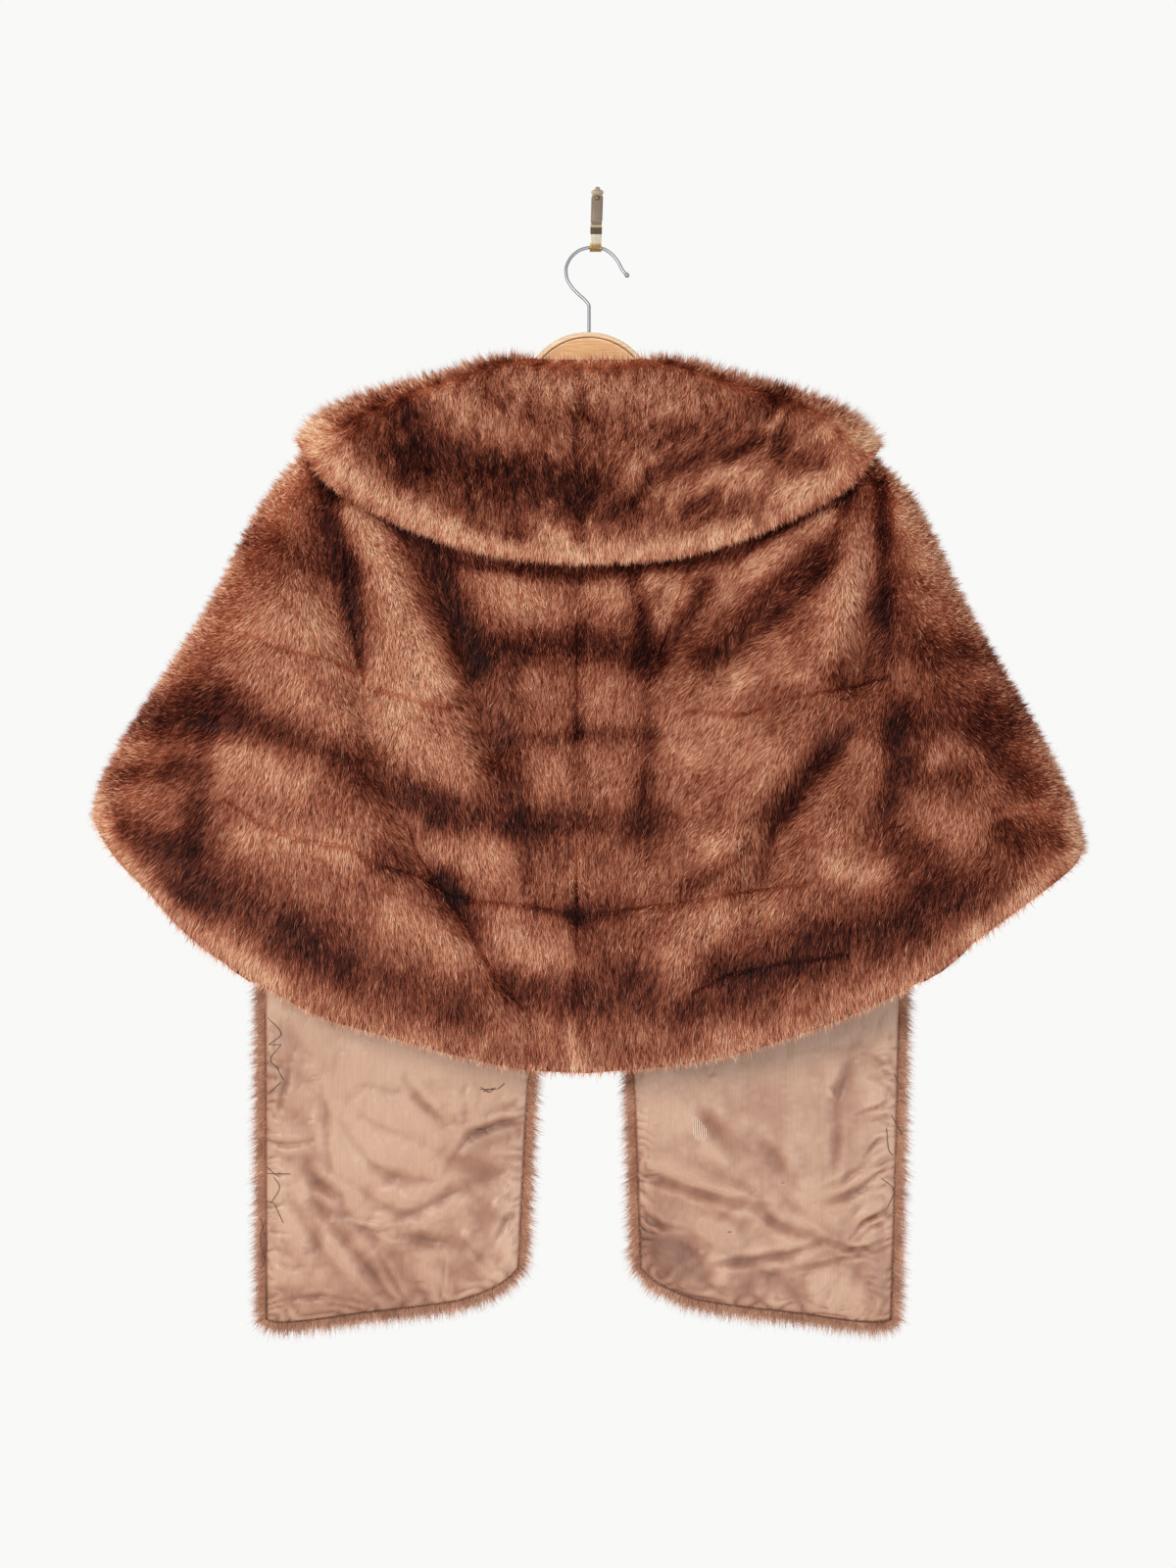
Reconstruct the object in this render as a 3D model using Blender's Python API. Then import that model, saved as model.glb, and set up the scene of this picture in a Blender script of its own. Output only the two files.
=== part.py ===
"""Mink cape hung on a wooden hanger, its back towards the viewer, with the hanger on a brass wall hook.

The wall is the plane y = 0 and the viewer looks along +Y. The origin is on the back face of the wall hook.
All sizes below are millimetres. Across the garment, "w" is a distance from its middle, and heights "z" are
measured from the origin, so they are negative. The object is built in metres.

The fur walls, the collar and the lining are sheets of one kind. A sheet has two parameters:
  u  goes round one side of the cape: 0 at the centre back, 1 on the side fold, 2 at the front edge;
  v  goes down: 0 at the neck, 1 at the hem.
A line of constant v is a row of pelts. It starts at the centre back, rises outwards to the side fold, turns
round it and comes back on the wall side to the front edge.
"""

import math
from typing import NamedTuple

import bpy
import numpy as np

MM = 0.001
SEAM = 0.3              # gap where two pieces meet
SIDES = ("left", "right")

# ---------------------------------------------------------------- driving sizes
CENTRE_X = -8.0         # the garment's middle, from the wall hook's middle
FUR = 9.0               # hide and nap of the body
COLLAR_FUR = 8.6        # hide and nap of the collar
LINING = 1.0            # satin
LINING_GAP = 0.8        # the lining hangs free of the hide
NECK_Z = -166.0         # neck seam at the centre back
HEM_Z = -786.0          # hem at the centre back
ROW_SEAMS = (0.503, 0.766)   # the two pelt row seams of the back, as v
BACK_CELLS = (9, 5, 5)       # mesh cells down each pelt row
FRONT_CELLS = 14
LINING_ENDS = (0.004, 0.988)  # the lining stops short of the neck and the hem, as v
LOFT = 14.0             # how far the cape stands out between its creases
ROLL_SHARE = 0.75       # most of a short row that its rolled fold may take

# Side fold of the body, from the neck to the tip of the cape: columns w, z
SIDE_FOLD = {
    "left": ((62, -159), (132, -170.5), (195, -189), (230, -209), (258, -234), (284, -266), (303, -298),
             (329, -351), (361, -404), (417, -492), (434, -527), (441, -556)),
    "right": ((62, -159), (132, -171), (195, -190), (230, -210), (257, -235), (286, -265), (305, -298),
              (329, -351), (358, -404), (408, -492), (434, -550), (442, -582)),
}
# How a row climbs from the centre back to the side fold: columns share of the way out, share of the climb
HEM_RISE = {
    "left": ((0, 0), (.11, .01), (.255, .065), (.39, .137), (.53, .216), (.655, .345), (.765, .48),
             (.823, .58), (.88, .71), (.94, .83), (.975, .92), (1, 1)),
    "right": ((0, 0), (.156, .03), (.274, .075), (.39, .147), (.51, .243), (.645, .383), (.76, .563),
              (.88, .76), (.94, .86), (.983, .942), (1, 1)),
}
FRONT_HEM_RISE = ((0, 0), (.66, 0), (.74, .10), (.83, .34), (.91, .60), (.965, .82), (1, 1))
# Depth of the body's middle down the cape: columns v, back, side fold, front, radius of the fold
BODY_DEPTH = ((0, -53.0, -38.3, -24.0, 14), (.07, -58.5, -40.2, -24.0, 16), (.14, -63.5, -43.0, -23.5, 18),
              (.30, -71.5, -46.5, -21.5, 23), (.60, -82.0, -49.0, -17.0, 30), (.85, -87.5, -50.0, -15.5, 33),
              (1, -88.0, -50.0, -15.0, 34))

# Creases of the back, from the collar downwards: columns width, depth as a share of the loft, and the
# crease's line as (w, z) with w positive on the right
CREASES = (
    (20, .95, ((-237, -249), (-228, -352), (-185, -490))),
    (21, 1.0, ((-158, -300), (-112, -396), (-86, -490))),
    (17, .80, ((-181, -516), (-146, -585), (-69, -697), (-34, -740))),
    (20, 1.0, ((250, -249), (254, -318), (241, -430))),
    (17, .85, ((220, -240), (198, -318), (120, -421))),
    (16, .60, ((155, -310), (120, -370), (73, -396))),
    (17, .75, ((215, -490), (164, -576), (146, -611))),
)

# Stole ends below the fronts: w of the inner and outer edge at the top, then at the bottom
PANEL_TOP = -705.0
PANELS = {"left": (41, 302, 54, 301), "right": (30, 292, 38, 284)}
# Bottom edge of a stole end, from its inner to its outer edge: columns share of the width, z
PANEL_HEM = ((0, -946), (.015, -962), (.05, -976), (.12, -989), (.26, -1002), (.60, -1013), (.93, -1022),
             (1, -1014))
PANEL_COLUMNS = (0, .015, .05, .12, .26, .48, .72, .93, 1)
PANEL_BOW = 3.0         # how far a stole end bows away from the wall
PANEL_ROWS = 8
PANEL_RIM = 9.0         # fur left showing round the lining

# Collar: the fold line round each shoulder, from the neck to its tip: columns w, z
COLLAR_FOLD = {
    "left": ((60, -146), (79, -145.5), (132, -160), (195, -177), (239, -195), (260, -219)),
    "right": ((60, -146.5), (79, -147), (132, -160.5), (195, -177.5), (239, -197), (262, -222)),
}
COLLAR_TOP, COLLAR_BOTTOM = -147.0, -331.0
LAPEL_TOP, LAPEL_BOTTOM = -166.0, -480.0
COLLAR_RISE = ((0, 0), (.2, .02), (.43, .125), (.665, .34), (.865, .60), (.95, .80), (1, 1))
LAPEL_RISE = ((0, 0), (.3, .22), (.6, .55), (.85, .84), (1, 1))
COLLAR_DEPTH = ((0, -62.2, -38.3, -11.8, 17), (.3, -70.0, -42.0, -10.8, 18), (.6, -77.0, -44.5, -10.0, 25),
                (1, -84.0, -46.5, -7.8, 30))

FRONT_TOP = 0.03        # v at which the fronts start below the neck

# Hanger
TILT = math.radians(9)  # the garment's bulk holds the hanger's foot away from the wall
WIRE = 3.0              # diameter of the steel hook
REST_Y, REST_Z = -18.0, -37.2   # middle of the wire where it rests in the wall hook
HANGER_X = -7.5
CROWN_RADIUS, CROWN_TOP = 60.0, -116.4
CROWN_REACH = 58.0      # half width of the crown; beyond it the top follows the shoulder
FOLD_START = 62.0       # where the shoulder's fold begins
ARM_CLEARANCE = FUR / 2 + LINING_GAP + LINING + 2.15   # the arm carries the lining just under the fold
# Arms of the hanger: columns w, bottom edge z, thickness
ARMS = ((0, -203, 12), (60, -206, 12), (132, -219, 12), (195, -226, 12), (208, -224, 10), (214, -219, 6))
ARM_END = 214.0
TIP_START, TIP_DROP = 185.0, 8.0   # the arm's top rounds down towards its end
# Bend of the wire, from the stem to the ball at its tip: columns x, z
WIRE_BEND = ((-7.1, -115.9), (-7.1, -104), (-7.1, -92.5), (-10.4, -87.0), (-17.0, -80.8), (-23.4, -73.6),
             (-27.3, -65.8), (-28.1, -58.2), (-25.6, -50.1), (-19.8, -42.9), (-12.4, -38.7),
             (-4.0, -37.2), (5.0, -38.4), (13.1, -43.3), (19.2, -50.8), (23.0, -58.2), (27.3, -63.4))
BALL = 4.6              # diameter of the ball on the wire's tip
BALL_NECK = 0.55        # smallest radius where the ball closes

# Wall hook
STRIP_THICKNESS = 1.4
STRIP_LEAN = 0.03       # sideways lean of the strip, mm for each mm of height
STRIP_TOP = 21.5
# Middle line of the strip from its top to its lip: columns distance from the wall, z
STRIP_LINE = ((0.7, 21.5), (0.7, 10), (0.7, 0), (0.7, -8.0), (4.5, -11.0), (10.0, -13.2), (14.3, -16.0),
              (14.9, -21.0), (14.9, -37.6))
TROUGH_RADIUS = 3.1     # middle of the strip round the wire
LIP_TOP = -24.5
# Half width of the strip from its leafed top down: columns distance below the top, half width
LEAFED_TOP = ((0, .7), (.6, 2.0), (1.6, 2.5), (2.5, 2.2), (3.0, 4.2), (4.0, 5.5), (6.0, 5.6), (7.4, 4.4),
              (8.4, 4.9), (10, 5.35), (12, 5.35))
PIN_HEAD, PIN_Z = 5.0, 11.5


class Sheet(NamedTuple):
    """Tables of one sheet; its edges are heights at the neck and at the hem."""
    fold: dict
    spread: float       # how quickly the rows reach down the fold; above 1 crowds them towards the tip
    back: tuple
    front: tuple
    back_rise: dict
    front_rise: tuple
    depth: tuple
    loft: float


BODY = Sheet(SIDE_FOLD, 1.55, (NECK_Z, HEM_Z), (NECK_Z, PANEL_TOP), HEM_RISE, FRONT_HEM_RISE, BODY_DEPTH, LOFT)
UNLOFTED = BODY._replace(loft=0.0)
COLLAR = Sheet(COLLAR_FOLD, 1.35, (COLLAR_TOP, COLLAR_BOTTOM), (LAPEL_TOP, LAPEL_BOTTOM),
               dict.fromkeys(SIDES, COLLAR_RISE), LAPEL_RISE, COLLAR_DEPTH, 0.0)


# ---------------------------------------------------------------- curves
def curve(rows, at):
    """Smooth curve through a table's rows: its first column is the place, the rest are values. Each slope is
    the harmonic mean of its neighbours', so the curve never overshoots a row."""
    rows = np.asarray(rows, float)
    place, value = rows[:, 0], rows[:, 1:]
    step = np.diff(place)[:, None]
    slope = np.diff(value, axis=0) / step
    before, after = slope[:-1], slope[1:]
    same_way = before * after > 0
    total = np.where(same_way, before + after, 1.0)
    inner = np.where(same_way, 2 * before * after / total, 0.0)
    slopes = np.vstack([slope[:1], inner, slope[-1:]])
    at = np.clip(np.asarray(at, float), place[0], place[-1])
    k = np.clip(np.searchsorted(place, at, side="right") - 1, 0, len(place) - 2)
    h = step[k]
    t = ((at - place[k]) / step[k, 0])[..., None]
    return ((2 * t ** 3 - 3 * t ** 2 + 1) * value[k] + (t ** 3 - 2 * t ** 2 + t) * h * slopes[k]
            + (3 * t ** 2 - 2 * t ** 3) * value[k + 1] + (t ** 3 - t ** 2) * h * slopes[k + 1])


def by_length(points):
    """Table of points with the share of the line's length in front."""
    points = np.asarray(points, float)
    length = np.concatenate([[0], np.cumsum(np.linalg.norm(np.diff(points, axis=0), axis=1))])
    return np.column_stack([length / length[-1], points])


def ease(low, high, value):
    """0 below low, 1 above high, with a smooth step between."""
    t = np.clip((value - low) / (high - low), 0, 1)
    return t * t * (3 - 2 * t)


def distance_to(line, w, z):
    """Shortest distance from each point to a line of straight stretches."""
    nearest = np.full(np.shape(w), np.inf)
    for (w0, z0), (w1, z1) in zip(line[:-1], line[1:]):
        along = ((w - w0) * (w1 - w0) + (z - z0) * (z1 - z0)) / ((w1 - w0) ** 2 + (z1 - z0) ** 2)
        along = np.clip(along, 0, 1)
        apart = np.hypot(w - w0 - along * (w1 - w0), z - z0 - along * (z1 - z0))
        nearest = np.minimum(nearest, apart)
    return nearest


# ---------------------------------------------------------------- sheets
def creased(w, z):
    """Share of the loft left at a point: 1 between the creases, less in each, as a bell across its line."""
    left = np.ones(np.shape(w))
    for width, depth, line in CREASES:
        left = left * (1 - depth * np.exp(-(distance_to(line, w, z) / width) ** 2))
    return left


def row_ends(sheet, side, v, back):
    """Where a row ends: its inner edge w, its fold's w and z, and the width of its rolled fold, which is the
    fold's radius, but never more than most of a short row."""
    fold = curve(by_length(sheet.fold[side]), 1 - (1 - v) ** sheet.spread)
    edge = np.where(back, 0.0, PANELS[side][0])
    rolled = np.minimum(curve(sheet.depth, v)[..., 3], ROLL_SHARE * (fold[..., 0] - edge))
    return edge, fold[..., 0], fold[..., 1], rolled


def middle(sheet, side, u, v):
    """Points of the sheet's middle. Across, a row goes from its inner edge out to the fold, and climbs by the
    sheet's rise table, which at the neck is a plain power of the way out. In depth it is a quarter of an
    ellipse from the fold to the flat, and the back stands out further by its loft between the creases."""
    sign = -1 if side == "left" else 1
    back = u <= 1
    out = np.where(back, u, 2 - u)
    edge, fold_w, fold_z, rolled = row_ends(sheet, side, v, back)
    depth = curve(sheet.depth, v)
    top = np.where(back, sheet.back[0], sheet.front[0])
    bottom = np.where(back, sheet.back[1], sheet.front[1])
    rise = np.where(back, curve(sheet.back_rise[side], out)[..., 0], curve(sheet.front_rise, out)[..., 0])
    climb = (1 - v ** 2) * out ** 1.7 + v ** 2 * rise
    inner_z = top + (bottom - top) * v
    w = edge + (fold_w - edge) * out
    z = inner_z + (fold_z - inner_z) * climb
    flat = np.where(back, depth[..., 0], depth[..., 2])
    share = np.clip((1 - out) * (fold_w - edge) / rolled, 0, 1)
    y = depth[..., 1] + (flat - depth[..., 1]) * np.sqrt(1 - (1 - share) ** 2)
    room = ease(.20, .44, v) * (1 - ease(.84, 1, v)) * (1 - ease(.80, .96, out)) * back
    y = y - sheet.loft * room * creased(sign * w, z)
    return np.stack([CENTRE_X + sign * w, y, z], axis=-1)


def outward(sheet, side, u, v):
    """Unit normals of the sheet's middle, pointing out of the garment, from small steps in u and v."""
    e = 1e-3
    across = middle(sheet, side, np.minimum(u + e, 2), v) - middle(sheet, side, np.maximum(u - e, 0), v)
    down = middle(sheet, side, u, np.minimum(v + e, 1)) - middle(sheet, side, u, np.maximum(v - e, 0))
    normal = np.cross(across, down) if side == "left" else np.cross(down, across)
    normal[..., 0] = np.where(u < e, 0.0, normal[..., 0])
    return normal / np.linalg.norm(normal, axis=-1, keepdims=True)


def grid(sheet, side, v, cells, front=False):
    """Parameters of a grid over one side of the back or of the front: cells[0] columns over the flat, evenly
    spaced, and cells[1] round half of the rolled fold, at even angles. Edge columns stop half a seam short."""
    flat, rolled = cells
    v = np.asarray(v, float)[None, :]
    edge, fold_w, _, radius = row_ends(sheet, side, v, not front)
    width = fold_w - edge
    even = np.linspace(0, 1, flat + 1)[:, None]
    start = 0.5 * SEAM / width
    level = start + even * (1 - radius / width - start)
    angle = np.linspace(math.pi / 2, 0, rolled + 1)[1:, None]
    angle = np.maximum(angle, 0.5 * SEAM / radius)
    turn = 1 - radius / width * (1 - np.cos(angle))
    out = np.vstack([level, turn])
    u = 2 - out[::-1] if front else out
    return u, np.broadcast_to(v, u.shape)


def rows(start, stop, cells, gap=0.0003):
    """Rows from start to stop, held half a seam back at both ends."""
    return np.linspace(start + gap, stop - gap, cells + 1)


# ---------------------------------------------------------------- meshes
def material(name, colour, roughness, metallic=0.0):
    """Principled material of one plain colour, given as an sRGB hex value."""
    made = bpy.data.materials.new(name)
    made.use_nodes = True
    shader = made.node_tree.nodes["Principled BSDF"]
    srgb = [int(colour[i:i + 2], 16) / 255 for i in (1, 3, 5)]
    linear = [c / 12.92 if c <= 0.04045 else ((c + 0.055) / 1.055) ** 2.4 for c in srgb]
    shader.inputs["Base Color"].default_value = (*linear, 1)
    shader.inputs["Roughness"].default_value = roughness
    shader.inputs["Metallic"].default_value = metallic
    return made


def add(name, points, faces, finish, smooth=True):
    """Object from points in millimetres."""
    mesh = bpy.data.meshes.new(name)
    mesh.from_pydata((np.asarray(points) * MM).tolist(), [], faces)
    mesh.update()
    if smooth:
        mesh.shade_smooth()
        mesh.set_sharp_from_angle(angle=math.radians(40))
    made = bpy.data.objects.new(name, mesh)
    made.data.materials.append(finish)
    bpy.context.scene.collection.objects.link(made)
    return made


def wall(name, centre, normal, inner, outer, finish):
    """Closed wall on a grid of points: the grid moved to both distances along its normals, and four rims. Each
    rim's quads are cut along the same diagonal, so that two walls which meet there lie face to face."""
    columns, count = centre.shape[:2]
    total = columns * count
    points = np.concatenate([(centre + outer * normal).reshape(-1, 3), (centre + inner * normal).reshape(-1, 3)])
    index = np.arange(total).reshape(columns, count)
    quads = np.stack([index[:-1, :-1], index[1:, :-1], index[1:, 1:], index[:-1, 1:]], axis=-1).reshape(-1, 4)
    rims = []
    for edge, reverse in ((index[:, 0], False), (index[-1], False), (index[:, -1], True), (index[0], True)):
        near, far = edge[:-1], edge[1:]
        pairs = [np.stack([far, near, far + total], axis=-1), np.stack([near, near + total, far + total], axis=-1)]
        rims += [pair[:, ::-1] if reverse else pair for pair in pairs]
    faces = np.concatenate([quads, quads[:, ::-1] + total]).tolist() + np.concatenate(rims).tolist()
    return add(name, points, faces, finish)


def sheet_wall(name, sheet, side, parameters, inner, outer, finish):
    """Wall over part of a sheet; the right side's columns are turned round to keep its faces outward."""
    u, v = parameters
    centre = middle(sheet, side, u, v)
    normal = outward(sheet, side, u, v)
    if side == "right":
        centre, normal = centre[::-1], normal[::-1]
    return wall(name, centre, normal, inner, outer, finish)


def swept(name, rings, finish, smooth=True):
    """Closed solid through rings of points, with a flat cap on each end."""
    stations, around = rings.shape[:2]
    index = np.arange(stations * around).reshape(stations, around)
    after = np.roll(index, -1, axis=1)
    sides = np.stack([index[:-1], after[:-1], after[1:], index[1:]], axis=-1).reshape(-1, 4)
    faces = sides.tolist() + [index[0, ::-1].tolist(), index[-1].tolist()]
    return add(name, rings.reshape(-1, 3), faces, finish, smooth)


# ---------------------------------------------------------------- fur and lining
def build_back(side, fur):
    """Three rows of pelts, from the neck to the hem."""
    edges = (0.0, *ROW_SEAMS, 1.0)
    for label, start, stop, cells in zip(("upper", "middle", "lower"), edges[:-1], edges[1:], BACK_CELLS):
        parameters = grid(BODY, side, rows(start, stop, cells), (15, 4))
        sheet_wall(f"fur_back_{label}_{side}", BODY, side, parameters, -FUR / 2, FUR / 2, fur)


def build_side(side, fur):
    """The part that turns round the side fold and hangs on the wall side, down to its own hem."""
    parameters = grid(BODY, side, rows(FRONT_TOP, 1, FRONT_CELLS), (5, 4), front=True)
    sheet_wall(f"fur_side_{side}", BODY, side, parameters, -FUR / 2, FUR / 2, fur)


def panel_middle(side, rim):
    """Stole end: an upright strip below the front's lower edge, narrowing a little, with its bottom edge from
    the table, and bowed a little from the wall by a half sine down its length. A rim above 0 draws its edges
    in by that much, but not its top."""
    sign = -1 if side == "left" else 1
    inner_top, outer_top, inner_bottom, outer_bottom = PANELS[side]
    across = np.array(PANEL_COLUMNS)[:, None]
    down = np.linspace(0, 1, PANEL_ROWS + 1)[None, :]
    inner = inner_top + (inner_bottom - inner_top) * down + rim
    outer = outer_top + (outer_bottom - outer_top) * down - rim
    w = inner + (outer - inner) * across
    top = PANEL_TOP - SEAM
    bottom = curve(PANEL_HEM, across)[..., 0] + rim
    z = top + (bottom - top) * down
    length = top - PANEL_HEM[-1][1]
    below = (top - z) / length
    y = BODY_DEPTH[-1][3] - PANEL_BOW * np.sin(math.pi * below)
    centre = np.stack([CENTRE_X + sign * w, y, z], axis=-1)
    slope = -PANEL_BOW * math.pi / length * np.cos(math.pi * below)
    normal = np.stack([0 * z, np.ones_like(z), slope], axis=-1)
    normal /= np.linalg.norm(normal, axis=-1, keepdims=True)
    if side == "left":
        return centre[::-1], normal[::-1]
    return centre, normal


def build_panel(side, fur, satin):
    """Stole end in fur with its lining, which stops inside the fur's rim."""
    wall(f"fur_panel_{side}", *panel_middle(side, 0), -FUR / 2, FUR / 2, fur)
    near = -FUR / 2 - LINING_GAP
    wall(f"lining_panel_{side}", *panel_middle(side, PANEL_RIM), near - LINING, near, satin)


def build_collar(side, fur):
    """Wide collar over the back and its lapel over the front."""
    half = COLLAR_FUR / 2
    sheet_wall(f"fur_collar_{side}", COLLAR, side, grid(COLLAR, side, rows(0, 1, 7, 0), (9, 4)), -half, half, fur)
    lapel = grid(COLLAR, side, rows(FRONT_TOP, 1, 7, 0), (4, 4), front=True)
    sheet_wall(f"fur_lapel_{side}", COLLAR, side, lapel, -half, half, fur)


def build_lining(side, satin):
    """Lining of the back and of the side, on the inside of the unlofted fur, held at the neck and hem."""
    near = -FUR / 2 - LINING_GAP
    edges = (0.0, *ROW_SEAMS, 1.0)
    stretches = [np.linspace(a, b, n + 1)[:-1] for a, b, n in zip(edges[:-1], edges[1:], BACK_CELLS)]
    back_rows = np.clip(np.concatenate([*stretches, [1.0]]), *LINING_ENDS)
    back = grid(UNLOFTED, side, back_rows, (4, 4))
    sheet_wall(f"lining_back_{side}", UNLOFTED, side, back, near - LINING, near, satin)
    front_rows = np.clip(np.linspace(FRONT_TOP, 1, FRONT_CELLS + 1), FRONT_TOP + LINING_ENDS[0], LINING_ENDS[1])
    front = grid(UNLOFTED, side, front_rows, (3, 4), front=True)
    sheet_wall(f"lining_side_{side}", UNLOFTED, side, front, near - LINING, near, satin)


# ---------------------------------------------------------------- hanger and wall hook
def tilted(points):
    """Points of the hanger, given upright at the wire's depth, tilted about where the wire rests. Heights are
    first stretched so that the tilted hanger keeps its height."""
    points = np.array(points, float)
    off = points[..., 1] - REST_Y
    drop = (points[..., 2] - REST_Z) / math.cos(TILT)
    points[..., 1] = REST_Y + off * math.cos(TILT) + drop * math.sin(TILT)
    points[..., 2] = REST_Z - off * math.sin(TILT) + drop * math.cos(TILT)
    return points


def build_wire(steel):
    """Bent wire: a circle carried along the smooth bend, swelling to a ball at its tip."""
    bend = by_length(WIRE_BEND)
    place = np.concatenate([np.linspace(0, 0.955, 40), np.linspace(0.965, 1, 6)])
    line = curve(bend, place)
    end = line[-1] + (line[-1] - line[-2]) / np.linalg.norm(line[-1] - line[-2]) * BALL / 2
    line = np.vstack([line, end])
    left_over = np.linalg.norm(line - end, axis=1)
    ball = np.sqrt(np.clip((BALL / 2) ** 2 - (left_over - BALL / 2) ** 2, BALL_NECK ** 2, None))
    radius = np.where(left_over < BALL, np.maximum(ball, np.where(left_over > BALL / 2, WIRE / 2, 0)), WIRE / 2)
    along = np.gradient(line, axis=0)
    along /= np.linalg.norm(along, axis=1, keepdims=True)
    angle = np.linspace(0, 2 * math.pi, 10, endpoint=False)
    flat = radius[:, None] * np.cos(angle)
    rings = np.stack([line[:, :1] - along[:, 1:] * flat, REST_Y + radius[:, None] * np.sin(angle),
                      line[:, 1:] + along[:, :1] * flat], axis=-1)
    swept("hanger_hook", tilted(rings[:, ::-1]), steel)


def fold_height(w):
    """Height of the lower of the two shoulders' folds at a distance from the middle."""
    return np.minimum(*(curve(SIDE_FOLD[side], w)[..., 0] for side in SIDES))


def build_wood(wood):
    """Hanger: sections across it, flat on both faces and half round along the top and bottom edges. Its top
    is the crown's arc, then follows just under the shoulder's fold."""
    crown = CROWN_RADIUS * np.sin(np.linspace(0, math.radians(86), 11))
    arm = ARM_END - (ARM_END - FOLD_START + .5) * np.linspace(1, 0, 11) ** 1.3
    w = np.concatenate([crown, arm])
    w = np.concatenate([-w[:0:-1], w])
    reach = np.abs(w)
    table = curve(ARMS, reach)
    arc = CROWN_TOP - CROWN_RADIUS + np.sqrt(np.clip(CROWN_RADIUS ** 2 - reach ** 2, 0, None))
    under_fold = fold_height(np.maximum(reach, FOLD_START)) - ARM_CLEARANCE
    under_fold = under_fold - TIP_DROP * ease(TIP_START, ARM_END, reach)
    top = np.where(reach < CROWN_REACH, np.maximum(arc, under_fold), under_fold)
    bottom, thick = table[:, 0], table[:, 1]
    angle = np.linspace(0, math.pi, 7)
    half = thick[:, None] / 2
    upper = np.stack([half * np.cos(angle), top[:, None] - half + half * np.sin(angle)], axis=-1)
    lower = np.stack([-half * np.cos(angle), bottom[:, None] + half - half * np.sin(angle)], axis=-1)
    round_edge = np.concatenate([upper, lower], axis=1)
    rings = np.stack([HANGER_X + w[:, None] + 0 * round_edge[..., 0], REST_Y + round_edge[..., 0],
                      round_edge[..., 1]], axis=-1)
    swept("hanger_wood", tilted(rings), wood)


def strip_line():
    """Middle line of the brass strip: down the wall, out, down behind the wire, round under it, up the lip."""
    line = curve(by_length(STRIP_LINE), np.concatenate([np.linspace(0, .22, 10), np.linspace(.27, 1, 16)]))
    centre_y, centre_z = STRIP_LINE[-1][0] + TROUGH_RADIUS, STRIP_LINE[-1][1]
    angle = np.linspace(math.pi, 2 * math.pi, 9)[1:]
    trough = np.column_stack([centre_y + TROUGH_RADIUS * np.cos(angle), centre_z + TROUGH_RADIUS * np.sin(angle)])
    lip_y = centre_y + TROUGH_RADIUS
    lip = np.array([(lip_y, -33.0), (lip_y + .1, -29.0), (lip_y + .5, LIP_TOP)])
    return np.vstack([line, trough, lip])


def build_wall_hook(brass):
    """Brass strip: a rectangle carried along its middle line, narrowed at the top into three leaves."""
    line = strip_line()
    along = np.gradient(line, axis=0)
    along[:3] = (0, -1)
    along /= np.linalg.norm(along, axis=1, keepdims=True)
    half = curve(LEAFED_TOP, STRIP_TOP - line[:, 1])[:, 0]
    thick = STRIP_THICKNESS / 2
    rings = np.empty((len(line), 4, 3))
    for k, (side, face) in enumerate(((-1, -1), (1, -1), (1, 1), (-1, 1))):
        rings[:, k, 1] = -(line[:, 0] - face * thick * along[:, 1])
        rings[:, k, 2] = line[:, 1] + face * thick * along[:, 0]
        rings[:, k, 0] = side * half + STRIP_LEAN * line[:, 1]
    swept("wall_hook", rings, brass, smooth=False)


def build_pin(brass):
    """Round head of the pin that holds the strip, a shallow dome."""
    angle = np.linspace(0, 2 * math.pi, 16, endpoint=False)
    face = STRIP_THICKNESS + SEAM
    profile = ((PIN_HEAD / 2, face), (PIN_HEAD / 2, face + .5), (PIN_HEAD / 2 * .8, face + 1.0), (.6, face + 1.3))
    rings = np.stack([np.stack([STRIP_LEAN * PIN_Z + r * np.cos(angle), np.full(16, -y),
                                PIN_Z + r * np.sin(angle)], axis=-1) for r, y in profile])
    swept("wall_pin", rings, brass)


def main():
    for old in list(bpy.data.objects):
        bpy.data.objects.remove(old)
    fur = material("mink_fur", "#8a5a42", 0.75)
    collar_fur = material("collar_mink_fur", "#7a4a34", 0.75)
    satin = material("satin_lining", "#b08c74", 0.40)
    wood = material("beech", "#d9a868", 0.45)
    steel = material("zinc_plated_steel", "#b8babd", 0.30, 1.0)
    brass = material("brass", "#b09a5c", 0.35, 1.0)
    for side in SIDES:
        build_back(side, fur)
        build_side(side, fur)
        build_panel(side, fur, satin)
        build_collar(side, collar_fur)
        build_lining(side, satin)
    build_wire(steel)
    build_wood(wood)
    build_wall_hook(brass)
    build_pin(brass)


main()
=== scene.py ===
"""Mink cape on a wooden hanger, its back towards the viewer, with the hanger on a brass wall hook.

All tables are in millimetres, in the part's own frame: the wall is the plane y = 0, the viewer looks along +Y
and heights z are negative. Across the garment, w is measured from its middle, positive on the viewer's right.

The fur walls, the collar and the lining are sheets of one kind, with two parameters:
  u  goes round one side of the cape: 0 at the centre back, 1 on the side fold, 2 at the front edge;
  v  goes down: 0 at the neck, 1 at the hem.
On each hide grows a nap of tapered hairs, joined into one mesh. A hair's tone is its place across the map
OFBake, and its material turns tone into colour.
"""

import math
from typing import NamedTuple

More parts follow.
